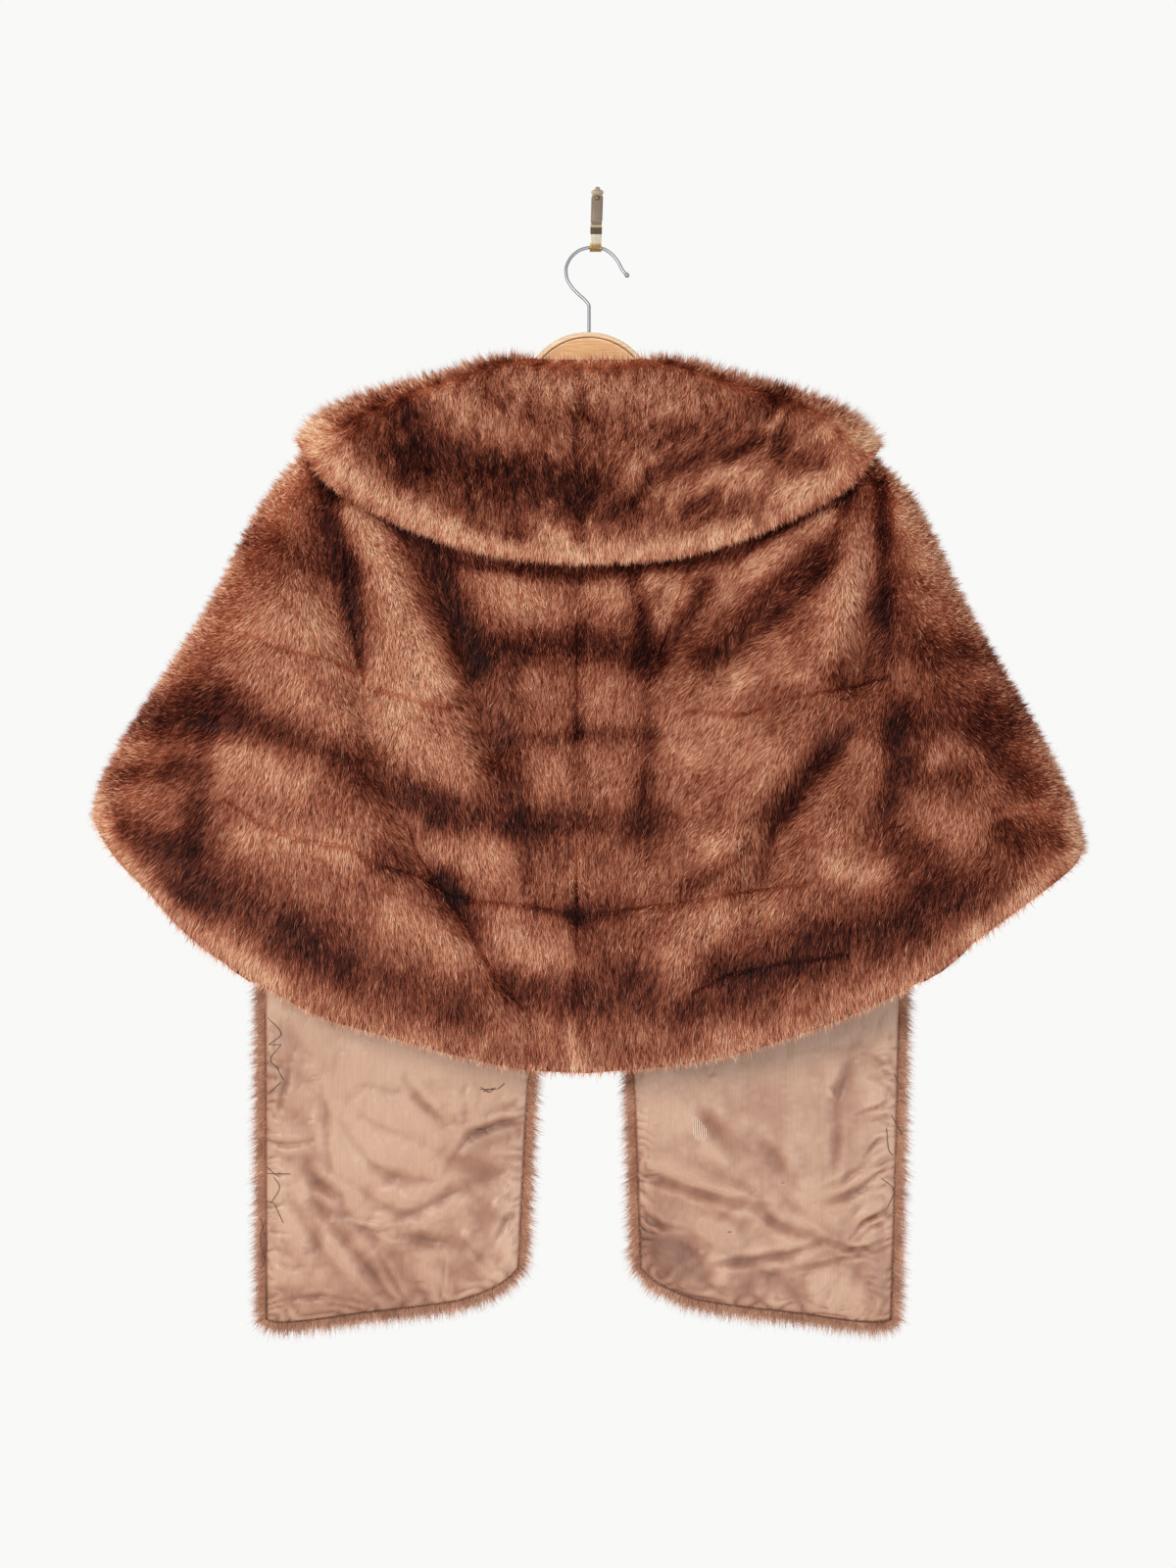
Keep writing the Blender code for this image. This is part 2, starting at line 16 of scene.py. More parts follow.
import bpy
import numpy as np
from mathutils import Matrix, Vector


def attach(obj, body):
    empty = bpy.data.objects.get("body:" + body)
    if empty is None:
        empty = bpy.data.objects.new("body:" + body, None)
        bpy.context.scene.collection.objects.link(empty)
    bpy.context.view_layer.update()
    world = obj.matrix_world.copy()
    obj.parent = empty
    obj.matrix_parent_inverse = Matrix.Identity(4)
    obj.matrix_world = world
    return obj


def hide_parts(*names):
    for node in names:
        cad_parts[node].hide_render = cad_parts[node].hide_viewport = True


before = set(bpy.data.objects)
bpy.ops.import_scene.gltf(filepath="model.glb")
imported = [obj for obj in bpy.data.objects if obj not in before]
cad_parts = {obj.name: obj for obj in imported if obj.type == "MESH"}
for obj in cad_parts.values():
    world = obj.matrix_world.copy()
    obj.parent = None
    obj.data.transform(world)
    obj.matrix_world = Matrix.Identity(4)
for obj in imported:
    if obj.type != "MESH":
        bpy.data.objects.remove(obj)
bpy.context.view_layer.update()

MM = 0.001
SHARP = math.radians(50)
SIDES = ("left", "right")
SEAM = 0.3                        # gap between neighbouring solids of the part

# ---------------------------------------------------------------- sizes shared with the part
CENTRE_X = -8.0
FUR, LINING, LINING_GAP = 9.0, 1.0, 0.8
NECK_Z, HEM_Z = -166.0, -786.0
# As v: the seams between the back's rows of pelts, the ends of the lining, and the top of the fronts
ROW_SEAMS = (0.503, 0.766)
LINING_ENDS = (0.004, 0.988)
FRONT_TOP = 0.03
# How far the back stands out between its creases, and the most of a row that its rolled fold takes up
LOFT, ROLL_SHARE = 14.0, 0.75
# Side fold of the body, from the neck to the tip of the cape: columns w, z
SIDE_FOLD = {
    "left": ((62, -159), (132, -170.5), (195, -189), (230, -209), (258, -234), (284, -266), (303, -298),
             (329, -351), (361, -404), (417, -492), (434, -527), (441, -556)),
    "right": ((62, -159), (132, -171), (195, -190), (230, -210), (257, -235), (286, -265), (305, -298),
              (329, -351), (358, -404), (408, -492), (434, -550), (442, -582)),
}
# How a row climbs from the centre back to the side fold: columns share of the way out, share of the climb
HEM_RISE = {
    "left": ((0, 0), (.11, .01), (.255, .065), (.39, .137), (.53, .216), (.655, .345), (.765, .48),
             (.823, .58), (.88, .71), (.94, .83), (.975, .92), (1, 1)),
    "right": ((0, 0), (.156, .03), (.274, .075), (.39, .147), (.51, .243), (.645, .383), (.76, .563),
              (.88, .76), (.94, .86), (.983, .942), (1, 1)),
}
# The fronts' hem as the photo shows it below the back's
FRONT_HEM_RISE = ((0, 0), (.66, 0), (.74, .17), (.83, .48), (.91, .71), (.965, .86), (1, 1))
# Depth of the body's middle down the cape: columns v, back, side fold, front, radius of the fold
BODY_DEPTH = ((0, -53.0, -38.3, -24.0, 14), (.07, -58.5, -40.2, -24.0, 16), (.14, -63.5, -43.0, -23.5, 18),
              (.30, -71.5, -46.5, -21.5, 23), (.60, -82.0, -49.0, -17.0, 30), (.85, -87.5, -50.0, -15.5, 33),
              (1, -88.0, -50.0, -15.0, 34))
# Deep creases of the back: columns width, depth as a share of the loft, and the crease's line as (w, z)
CREASES = (
    (16, .95, ((-237, -249), (-228, -352), (-185, -490))),
    (17, 1.0, ((-158, -300), (-112, -396), (-86, -490))),
    (15, .80, ((-181, -516), (-146, -585), (-69, -697), (-34, -740))),
    (16, 1.0, ((250, -249), (254, -318), (241, -430))), (15, .85, ((220, -240), (198, -318), (120, -421))),
    (14, .60, ((155, -310), (120, -370), (73, -396))), (15, .75, ((215, -490), (164, -576), (146, -611))),
)
PANEL_TOP = -705.0
# Stole ends: w of the inner and the outer edge at the top, then at the bottom
PANELS = {"left": (41, 302, 54, 301), "right": (30, 292, 38, 284)}
# Their bottom edge: columns share of the way from the inner edge to the outer one, z
PANEL_HEM = ((0, -946), (.015, -962), (.05, -976), (.12, -989), (.26, -1002), (.60, -1013), (.93, -1022),
             (1, -1014))
PANEL_BOW, PANEL_RIM = 3.0, 9.0
# The collar and its lapel, with the columns of the body's tables
COLLAR_FOLD = {
    "left": ((60, -146), (79, -145.5), (132, -160), (195, -177), (239, -195), (260, -219)),
    "right": ((60, -146.5), (79, -147), (132, -160.5), (195, -177.5), (239, -197), (262, -222)),
}
COLLAR_TOP, COLLAR_BOTTOM = -147.0, -331.0
LAPEL_TOP, LAPEL_BOTTOM = -166.0, -480.0
COLLAR_RISE = ((0, 0), (.2, .02), (.43, .125), (.665, .34), (.865, .60), (.95, .80), (1, 1))
LAPEL_RISE = ((0, 0), (.3, .22), (.6, .55), (.85, .84), (1, 1))
COLLAR_DEPTH = ((0, -62.2, -38.3, -11.8, 17), (.3, -70.0, -42.0, -10.8, 18), (.6, -77.0, -44.5, -10.0, 25),
                (1, -84.0, -46.5, -7.8, 30))

# ---------------------------------------------------------------- sizes of the nap and of the hard pieces
# Grids of the sheets: cells over the flat and round the fold, and rows down
BACK_CELLS, BACK_ROWS = (36, 7), 29
SIDE_CELLS, SIDE_ROWS = (22, 7), 61
COLLAR_CELLS, LAPEL_CELLS, COLLAR_ROWS = (38, 8), (16, 8), 39
LINING_CELLS, LINING_ROWS = (16, 6), 41
# Lengths of the hairs, and the width of a hair's foot, which is coarser than a real one so that it shows
HAIR, COLLAR_HAIR, RIM_HAIR = 8.1, 9.3, 9.5
HAIR_WIDTH, RIM_HAIR_SHARE = 0.49, .72
# Locks: how far apart they are, how far tips lean together, and how much more on a fringe and on a rim
LOCK_SIZE, LOCK_LEAN, FRINGE_LOCKS, RIM_LOCKS = 6, 0.06, 2.4, .7
# Hairs to a square millimetre: where the nap shows, on the collar, towards the wall and for the rims
DENSITY, COLLAR_DENSITY, WALL_DENSITY, RIM_DENSITY = 1.1, 1.32, .20, .34
# Longer guard hairs: their share of the nap, how much more there are on a fringe, and their length
GUARD_SHARE, FRINGE_GUARDS, GUARD_LENGTH = .06, .22, 1.5
# How far hairs stand up from the skin, in degrees, and how much more at a fold, on a crest or at the neck
BACK_LIFT, BACK_FOLD_LIFT, CREST_LIFT = 37, 42, 10
SIDE_LIFT, SIDE_FOLD_LIFT = 34, 45
COLLAR_LIFT, COLLAR_FOLD_LIFT, LAPEL_FOLD_LIFT, NECK_LIFT, COLLAR_HEM_DROP = 38, 34, 52, 84, 18
PANEL_LIFT, RIM_LIFT, RIM_EDGE_DROP = 30, 46, 36
LIFT_SPREAD, TURN_SPREAD = 8, 10
# Faces of the hides, from the sheet's middle, and how much higher the underwool is where the hairs stand
HIDE_REACH, COLLAR_REACH, PANEL_REACH, STANDING_WOOL = (-4.5, -0.8), (-4.3, -0.8), (-4.5, 0), 2.4
# Where the hides of the back, the sides and the collar end above the hem, as v; the nap reaches past them
HIDE_END, SIDE_END, COLLAR_END = 0.990, .9995, .985
STRIP_OF_PELT = 95                # width of a let-out strip of pelt on the wall side
RIM_FOOT = 3.6                    # the rims' hairs stand this far in front of the stole ends' middle
PUFF, SATIN_FLOOR = 3.0, -.6      # how far the satin stands up within its seam, and how low its creases go
# Hanger: its tilt, its wire and the ball at its tip, where the wire rests, and its round top between the arms
TILT = math.radians(9)
WIRE, BALL = 3.0, 4.6
REST_Y, REST_Z, HANGER_X = -18.0, -37.2, -7.5
CROWN_RADIUS, CROWN_TOP, CROWN_REACH, FOLD_START = 60.0, -116.4, 58.0, 62.0
ARM_CLEARANCE = FUR / 2 + LINING_GAP + LINING + 2.15
# Arms of the hanger: columns w, bottom edge z, thickness
ARMS = ((0, -203, 12), (60, -206, 12), (132, -219, 12), (195, -226, 12), (208, -224, 10), (214, -219, 6))
ARM_END, TIP_START, TIP_DROP = 214.0, 185.0, 8.0
# Face of the wood inside its rounded edge: columns distance in from the outline, depth of the groove there
GROOVED_FACE = ((6.0, 0), (6.3, 0), (6.6, .7), (7.0, .9), (7.4, .7), (7.7, 0), (8.1, -.15), (8.6, -.15),
                (9.0, 0), (11, 0))
FAR_INSET = 12.0                  # how far in from the outline the wood's colours reach
# Line of the wire from the wood to its tip: columns w, z
WIRE_BEND = ((-7.1, -115.9), (-7.1, -104), (-7.1, -92.5), (-10.4, -87.0), (-17.0, -80.8), (-23.4, -73.6),
             (-27.3, -65.8), (-28.1, -58.2), (-25.6, -50.1), (-19.8, -42.9), (-12.4, -38.7),
             (-4.0, -37.2), (5.0, -38.4), (13.1, -43.3), (19.2, -50.8), (23.0, -58.2), (27.3, -63.4))
STRIP_THICKNESS, STRIP_LEAN, STRIP_TOP = 1.4, 0.03, 21.5
# Middle line of the strip from its top to its lip: columns distance from the wall, z
STRIP_LINE = ((0.7, 21.5), (0.7, 10), (0.7, 0), (0.7, -9.5), (3.4, -11.6), (8.4, -14.2), (13.2, -17.0),
              (14.9, -20.5), (14.9, -37.6))
TROUGH_RADIUS = 3.1
# Lip in front of the wire: columns share of the way up, how far it leans out, z
LIP = ((0, 0, -36.0), (.3, 0, -33.5), (.6, .1, -30.0), (1, .5, -26.2))
# Leaves at the strip's top: columns distance below the top, half width there
LEAFED_TOP = ((0, .7), (.6, 2.0), (1.6, 2.5), (2.5, 2.2), (3.0, 4.2), (4.0, 5.5), (6.0, 5.6), (7.4, 4.4),
              (8.4, 4.9), (10, 5.35), (12, 5.35))
PIN_HEAD, PIN_Z = 5.0, 11.5
HOLE, HOLE_APART, HOLE_Z = 2.2, 6.8, 14.2   # pierced holes near the top of the strip
# Tone of the pelts, from the darkest stripe to the palest edge, and of the stole ends' rims
PELT_RAMP = ((0, "#1c0402"), (.16, "#43140a"), (.34, "#86402b"), (.52, "#bb6f52"), (.70, "#e29e7d"),
             (.86, "#fdcaa2"), (1, "#ffe4c2"))
RIM_RAMP = ((0, "#5b3a2c"), (.5, "#bb8f78"), (.8, "#e3bfa6"), (1, "#f6dcc8"))
# Shade of a hair from its root to its tip, over the nap and on the rims of the stole ends. Over the nap the
# root is darker: painted shade deep in the nap.
ROOT_TO_TIP = ((0, "#ab8c7b"), (.35, "#ffffff"), (.74, "#ffffff"), (1, "#6e4536"))
RIM_ROOT_TO_TIP = ((0, "#fff4ee"), (.5, "#f4e4da"), (.74, "#e2c8ba"), (1, "#5e3d30"))

# ---------------------------------------------------------------- sizes of the studio
# In metres: the camera, what the lamps point at, and each lamp's name, place, size, power and colour
CAMERA_PLACE, FOCAL_LENGTH, SENSOR = (-.00807, -2.4, -.5247), 60.21, 36
MIDDLE_OF_CAPE = (-.008, -.05, -.55)
LAMPS = (("key", (-1.7, -2.95, .25), 1.3, 81, "#fffaf4"), ("fill", (1.4, -2.6, -1.4), 1.8, 30, "#f6f9ff"),
         ("behind", (.6, 2.4, 1.2), 1.6, 16, "#ffffff"))
WORLD_STRENGTH = 0.62
# In millimetres
FLOOR_RADIUS, FLOOR_Z = 900, -1600.0
BACKDROP_REACH, BACKDROP_Y, BACKDROP_BOTTOM, BACKDROP_TOP = 2600, 4000, -3600, 2400

# ---------------------------------------------------------------- relief and tones
# Each row is a soft stroke: height or change of tone, width, and its line as (w, z). A bell lies across it.
# Small folds, pleats and sewn lines of the back, in millimetres out from the hide
BACK_RIPPLES = (
    (+3.50, 13, ((-213, -280), (-185, -327), (-146, -396), (-103, -516))),
    (+2.50, 14, ((-301, -353), (-258, -387))), (+3.00, 22, ((-146, -482), (-103, -516))),
    (-2.20, 3, ((-291, -387), (-258, -406), (-219, -430))),
    (-2.20, 3, ((-194, -442), (-155, -458), (-112, -467))),
    (-1.80, 3, ((-314, -542), (-291, -559), (-267, -578), (-232, -583))),
    (-2.00, 3, ((-189, -605), (-146, -624), (-108, -635), (-9, -642))),
    (-2.00, 3, ((-7, -642), (52, -630), (103, -624))), (-1.50, 3, ((69, -475), (120, -469), (172, -443))),
    (-0.80, 4, ((-65, -387), (-63, -482), (-59, -568), (-52, -615))),
    (-0.80, 4, ((47, -387), (53, -460), (50, -514), (47, -568))),
    (-0.90, 3, ((-9, -344), (-10, -473), (-9, -641), (-10, -770))), (-3.00, 6, ((-10, -640), (-7, -641))),
    (-2.20, 5, ((-13, -473), (-6, -474))), (+3.00, 17, ((230, -353), (215, -396), (189, -439))),
    (+2.50, 14, ((271, -267), (288, -305), (301, -344))), (-3.00, 9, ((268, -469), (271, -514), (262, -551))),
    (+3.00, 12, ((282, -473), (288, -525))), (-4.00, 10, ((225, -477), (197, -514), (163, -551))),
    (+3.00, 17, ((125, -576), (103, -637), (86, -680))), (+2.50, 15, ((224, -594), (198, -645))),
    (-3.00, 10, ((172, -576), (150, -637), (120, -688))), (-2.50, 4, ((354, -555), (396, -545))),
    (-2.00, 4, ((234, -561), (258, -554), (310, -551))), (+2.50, 10, ((58, -353), (67, -387))),
    (-2.00, 4, ((-406, -477), (-331, -475), (-291, -483))), (+2.00, 17, ((-331, -507), (-258, -520))),
    (-2.00, 10, ((-336, -490), (-344, -551), (-353, -611))),
)
COLLAR_RIPPLES = (
    (-2.50, 12, ((-161, -200), (-147, -230), (-87, -239))), (+2.00, 16, ((-113, -179), (-35, -204))),
    (-2.00, 9, ((57, -251), (88, -242), (149, -219))), (-2.00, 9, ((17, -292), (43, -269), (66, -250))),
    (+2.00, 12, ((14, -300), (43, -256))), (-2.50, 7, ((170, -210), (167, -230))),
    (-2.00, 4, ((-9, -154), (-9, -239), (-9, -317))), (-2.00, 14, ((-100, -289), (-61, -298))),
    (+2.00, 10, ((-87, -304), (-43, -307))), (-1.50, 10, ((97, -278), (147, -282))),
    (+2.00, 10, ((-216, -239), (-173, -274), (-113, -304))),
    (+2.00, 10, ((242, -226), (199, -261), (138, -300))),
)
# Dark and light places of the back's nap, as a change of tone: partly the pelts' own stripes and patches,
# partly painted shade along the creases and folds, painted highlights along the ridges between them, and a
# painted shadow line under the collar's hem
BACK_TONES_AND_SHADE = (
    (-0.46, 10, ((-237, -245), (-225, -298), (-209, -363), (-202, -417))),
    (-0.18, 20, ((-232, -267), (-219, -318), (-205, -387))),
    (-0.50, 12, ((-159, -305), (-130, -340), (-112, -383), (-102, -417))),
    (-0.28, 19, ((-134, -345), (-105, -404), (-86, -469), (-76, -525))),
    (-0.20, 18, ((-305, -308), (-258, -318), (-219, -331))),
    (-0.34, 17, ((-404, -463), (-331, -458), (-293, -471), (-256, -487), (-207, -508), (-172, -530),
                 (-133, -547))),
    (-0.20, 31, ((-387, -452), (-331, -469))),
    (-0.30, 11, ((-336, -477), (-342, -546), (-350, -600), (-356, -624))),
    (-0.26, 12, ((-420, -518), (-358, -513))), (-0.34, 13, ((-406, -563), (-363, -583))),
    (-0.26, 22, ((-366, -611), (-315, -630), (-271, -645), (-207, -675))),
    (-0.24, 21, ((-258, -667), (-189, -697), (-112, -723))),
    (-0.16, 9, ((-68, -400), (-63, -482), (-59, -568), (-52, -615))),
    (-0.20, 9, ((47, -387), (53, -460), (50, -514), (47, -568))),
    (-0.24, 13, ((-103, -402), (-52, -406), (0, -402), (53, -418))), (-0.24, 9, ((-100, -411), (-90, -421))),
    (-0.22, 8, ((-9, -407), (-4, -414))), (-0.26, 9, ((54, -411), (60, -425))),
    (-0.18, 19, ((-86, -411), (-9, -398), (47, -412))),
    (-0.30, 19, ((-133, -551), (-65, -561), (0, -563), (56, -557))), (-0.20, 12, ((-73, -563), (-47, -563))),
    (-0.16, 6, ((-108, -483), (-60, -488), (-9, -483), (58, -480))), (-0.55, 8, ((-10, -640), (-5, -642))),
    (-0.26, 7, ((-12, -471), (-7, -477))), (-0.20, 9, ((-47, -635), (-9, -640), (34, -635))),
    (-0.24, 19, ((-63, -707), (-9, -714), (45, -705))), (-0.26, 12, ((-127, -602), (-95, -664), (-63, -713))),
    (-0.22, 17, ((-172, -594), (-138, -611), (-112, -645))),
    (-0.40, 11, ((230, -261), (225, -293), (201, -326))), (-0.34, 14, ((201, -326), (150, -368), (99, -417))),
    (+0.20, 15, ((216, -284), (172, -320), (122, -346))), (-0.48, 9, ((260, -258), (263, -315), (258, -374))),
    (-0.25, 19, ((262, -353), (255, -421))), (-0.40, 9, ((37, -335), (48, -379), (58, -411))),
    (-0.40, 9, ((105, -348), (79, -391), (61, -415))), (-0.36, 13, ((225, -477), (197, -514), (172, -542))),
    (-0.30, 6, ((222, -490), (202, -507), (185, -530), (168, -554), (158, -582), (150, -609))),
    (-0.26, 7, ((222, -322), (186, -362), (156, -385), (126, -412))),
    (-0.24, 10, ((172, -542), (138, -585), (86, -615))), (-0.34, 12, ((268, -469), (271, -514), (265, -538))),
    (-0.30, 21, ((298, -404), (357, -409))), (-0.36, 21, ((280, -463), (335, -471), (396, -458))),
    (-0.30, 17, ((360, -499), (380, -525))), (-0.26, 15, ((370, -569), (413, -575))),
    (-0.20, 19, ((284, -516), (323, -525))), (-0.22, 21, ((258, -568), (284, -594))),
    (-0.26, 22, ((99, -675), (146, -684), (206, -664))),
    (-0.28, 21, ((86, -723), (138, -705), (215, -669), (284, -641), (323, -619))),
    (-0.18, 34, ((258, -645), (344, -611))), (-0.25, 26, ((-344, -585), (-327, -611))),
    (-0.16, 34, ((17, -662), (34, -697))), (-0.12, 8, ((-9, -387), (-10, -471), (-9, -559))),
    (-0.12, 9, ((-9, -649), (-10, -740))),
    (-0.45, 6, ((-219, -258), (-155, -305), (-112, -329), (-9, -341), (129, -323), (230, -262))),
    (-0.20, 26, ((172, -439), (215, -430))), (-0.15, 26, ((-103, -353), (-112, -387))),
    (+0.30, 18, ((-213, -284), (-191, -318), (-172, -357), (-151, -396), (-131, -430))),
    (+0.20, 29, ((-284, -383), (-228, -387))), (+0.20, 26, ((-172, -469), (-129, -495), (-112, -512))),
    (+0.24, 22, ((-325, -499), (-258, -514))), (+0.20, 19, ((-301, -568), (-219, -583))),
    (+0.18, 19, ((-129, -583), (-73, -583))), (+0.18, 22, ((-172, -641), (-129, -658))),
    (+0.22, 22, ((-95, -667), (-30, -675))), (+0.26, 20, ((-112, -348), (-73, -356))),
    (+0.07, 22, ((-34, -434), (17, -439))), (+0.07, 21, ((-34, -516), (21, -520))),
    (+0.20, 17, ((10, -355), (30, -360))), (+0.16, 16, ((-42, -352), (-38, -374))),
    (+0.12, 17, ((-86, -430), (-82, -456))), (+0.28, 12, ((58, -346), (79, -358), (69, -378))),
    (+0.14, 29, ((86, -490), (172, -499))), (+0.15, 24, ((112, -439), (163, -430))),
    (+0.26, 19, ((230, -353), (215, -396), (196, -430))), (+0.16, 21, ((232, -301), (241, -335))),
    (+0.24, 14, ((271, -267), (288, -301), (297, -327))), (+0.10, 22, ((292, -353), (331, -387))),
    (+0.24, 17, ((110, -583), (148, -578))), (+0.22, 17, ((215, -594), (245, -604))),
    (+0.30, 19, ((77, -675), (112, -654))), (+0.14, 17, ((301, -551), (331, -559))),
    (+0.30, 10, ((-434, -544), (-423, -578), (-387, -616), (-331, -664), (-278, -697))),
    (+0.12, 9, ((-278, -697), (-215, -724), (-138, -754))),
    (+0.28, 9, ((428, -555), (430, -583), (396, -615), (341, -655))),
    (+0.14, 9, ((341, -655), (276, -698), (180, -741), (86, -767))), (+0.22, 6, ((-9, -572), (-11, -602))),
    (+0.30, 5, ((-16, -731), (-10, -776))), (+0.16, 17, ((-370, -396), (-387, -430))),
    (+0.14, 19, ((-258, -249), (-271, -292))), (+0.30, 5, ((299, -511), (308, -504))),
    (+0.24, 5, ((127, -442), (134, -434))), (+0.24, 4, ((-150, -559), (-146, -547))),
    (+0.22, 7, ((374, -547), (403, -545))), (+0.16, 7, ((-250, -439), (-244, -449))),
    (+0.16, 26, ((-189, -421), (-155, -439))), (+0.12, 31, ((-258, -439), (-232, -464))),
)
# Dark and light places of the collar's nap, as a change of tone: partly the pelts' own tones, partly painted
# shade along its creases and painted highlights along its ridges
COLLAR_TONES_AND_SHADE = (
    (-0.10, 32, ((-150, -200), (-60, -180))),
    (-0.38, 14, ((-161, -200), (-147, -230), (-113, -236), (-78, -241), (-43, -252), (-13, -262))),
    (-0.30, 16, ((-211, -209), (-182, -226), (-156, -246))), (-0.20, 23, ((-147, -252), (-113, -265))),
    (-0.28, 22, ((-87, -248), (-48, -265), (-9, -274))), (-0.26, 12, ((-100, -289), (-61, -298))),
    (-0.24, 12, ((-187, -185), (-156, -191))), (-0.16, 5, ((-9, -154), (-9, -191), (-10, -239), (-9, -317))),
    (-0.22, 20, ((0, -248), (22, -274))), (-0.30, 9, ((57, -251), (88, -242), (123, -233), (149, -219))),
    (-0.26, 9, ((17, -292), (43, -269), (66, -250))), (-0.26, 10, ((145, -194), (175, -177))),
    (-0.36, 8, ((170, -210), (167, -230))), (-0.24, 14, ((97, -278), (147, -282))),
    (-0.18, 10, ((173, -239), (209, -243))), (-0.14, 19, ((78, -213), (121, -213))),
    (-0.14, 16, ((0, -204), (35, -213))),
    (+0.37, 12, ((-248, -211), (-225, -241), (-197, -263), (-163, -282), (-120, -300))),
    (+0.32, 9, ((-120, -303), (-69, -319), (-9, -324))), (+0.32, 9, ((-9, -324), (52, -318), (112, -308))),
    (+0.37, 12, ((253, -220), (218, -249), (183, -274), (147, -294), (112, -305))),
    (+0.20, 16, ((-247, -210), (-216, -217))), (+0.22, 8, ((-95, -289), (-76, -296))),
    (+0.16, 8, ((-57, -294), (-42, -296))), (+0.26, 9, ((-35, -304), (-19, -307))),
    (+0.20, 16, ((-142, -179), (-113, -185))), (+0.18, 21, ((-104, -196), (-76, -213))),
    (+0.24, 14, ((-65, -170), (-28, -175))), (+0.22, 16, ((-5, -166), (19, -179))),
    (+0.16, 16, ((52, -179), (88, -191))), (+0.16, 12, ((66, -262), (90, -267))),
    (+0.22, 16, ((112, -248), (143, -256))), (+0.26, 10, ((180, -265), (197, -260))),
    (+0.22, 10, ((10, -293), (31, -265), (43, -248))), (+0.24, 12, ((212, -213), (247, -217))),
    (+0.42, 4, ((161, -211), (170, -199))), (+0.22, 4, ((52, -200), (78, -191))),
    (+0.10, 26, ((-225, -187), (-190, -174))),
)
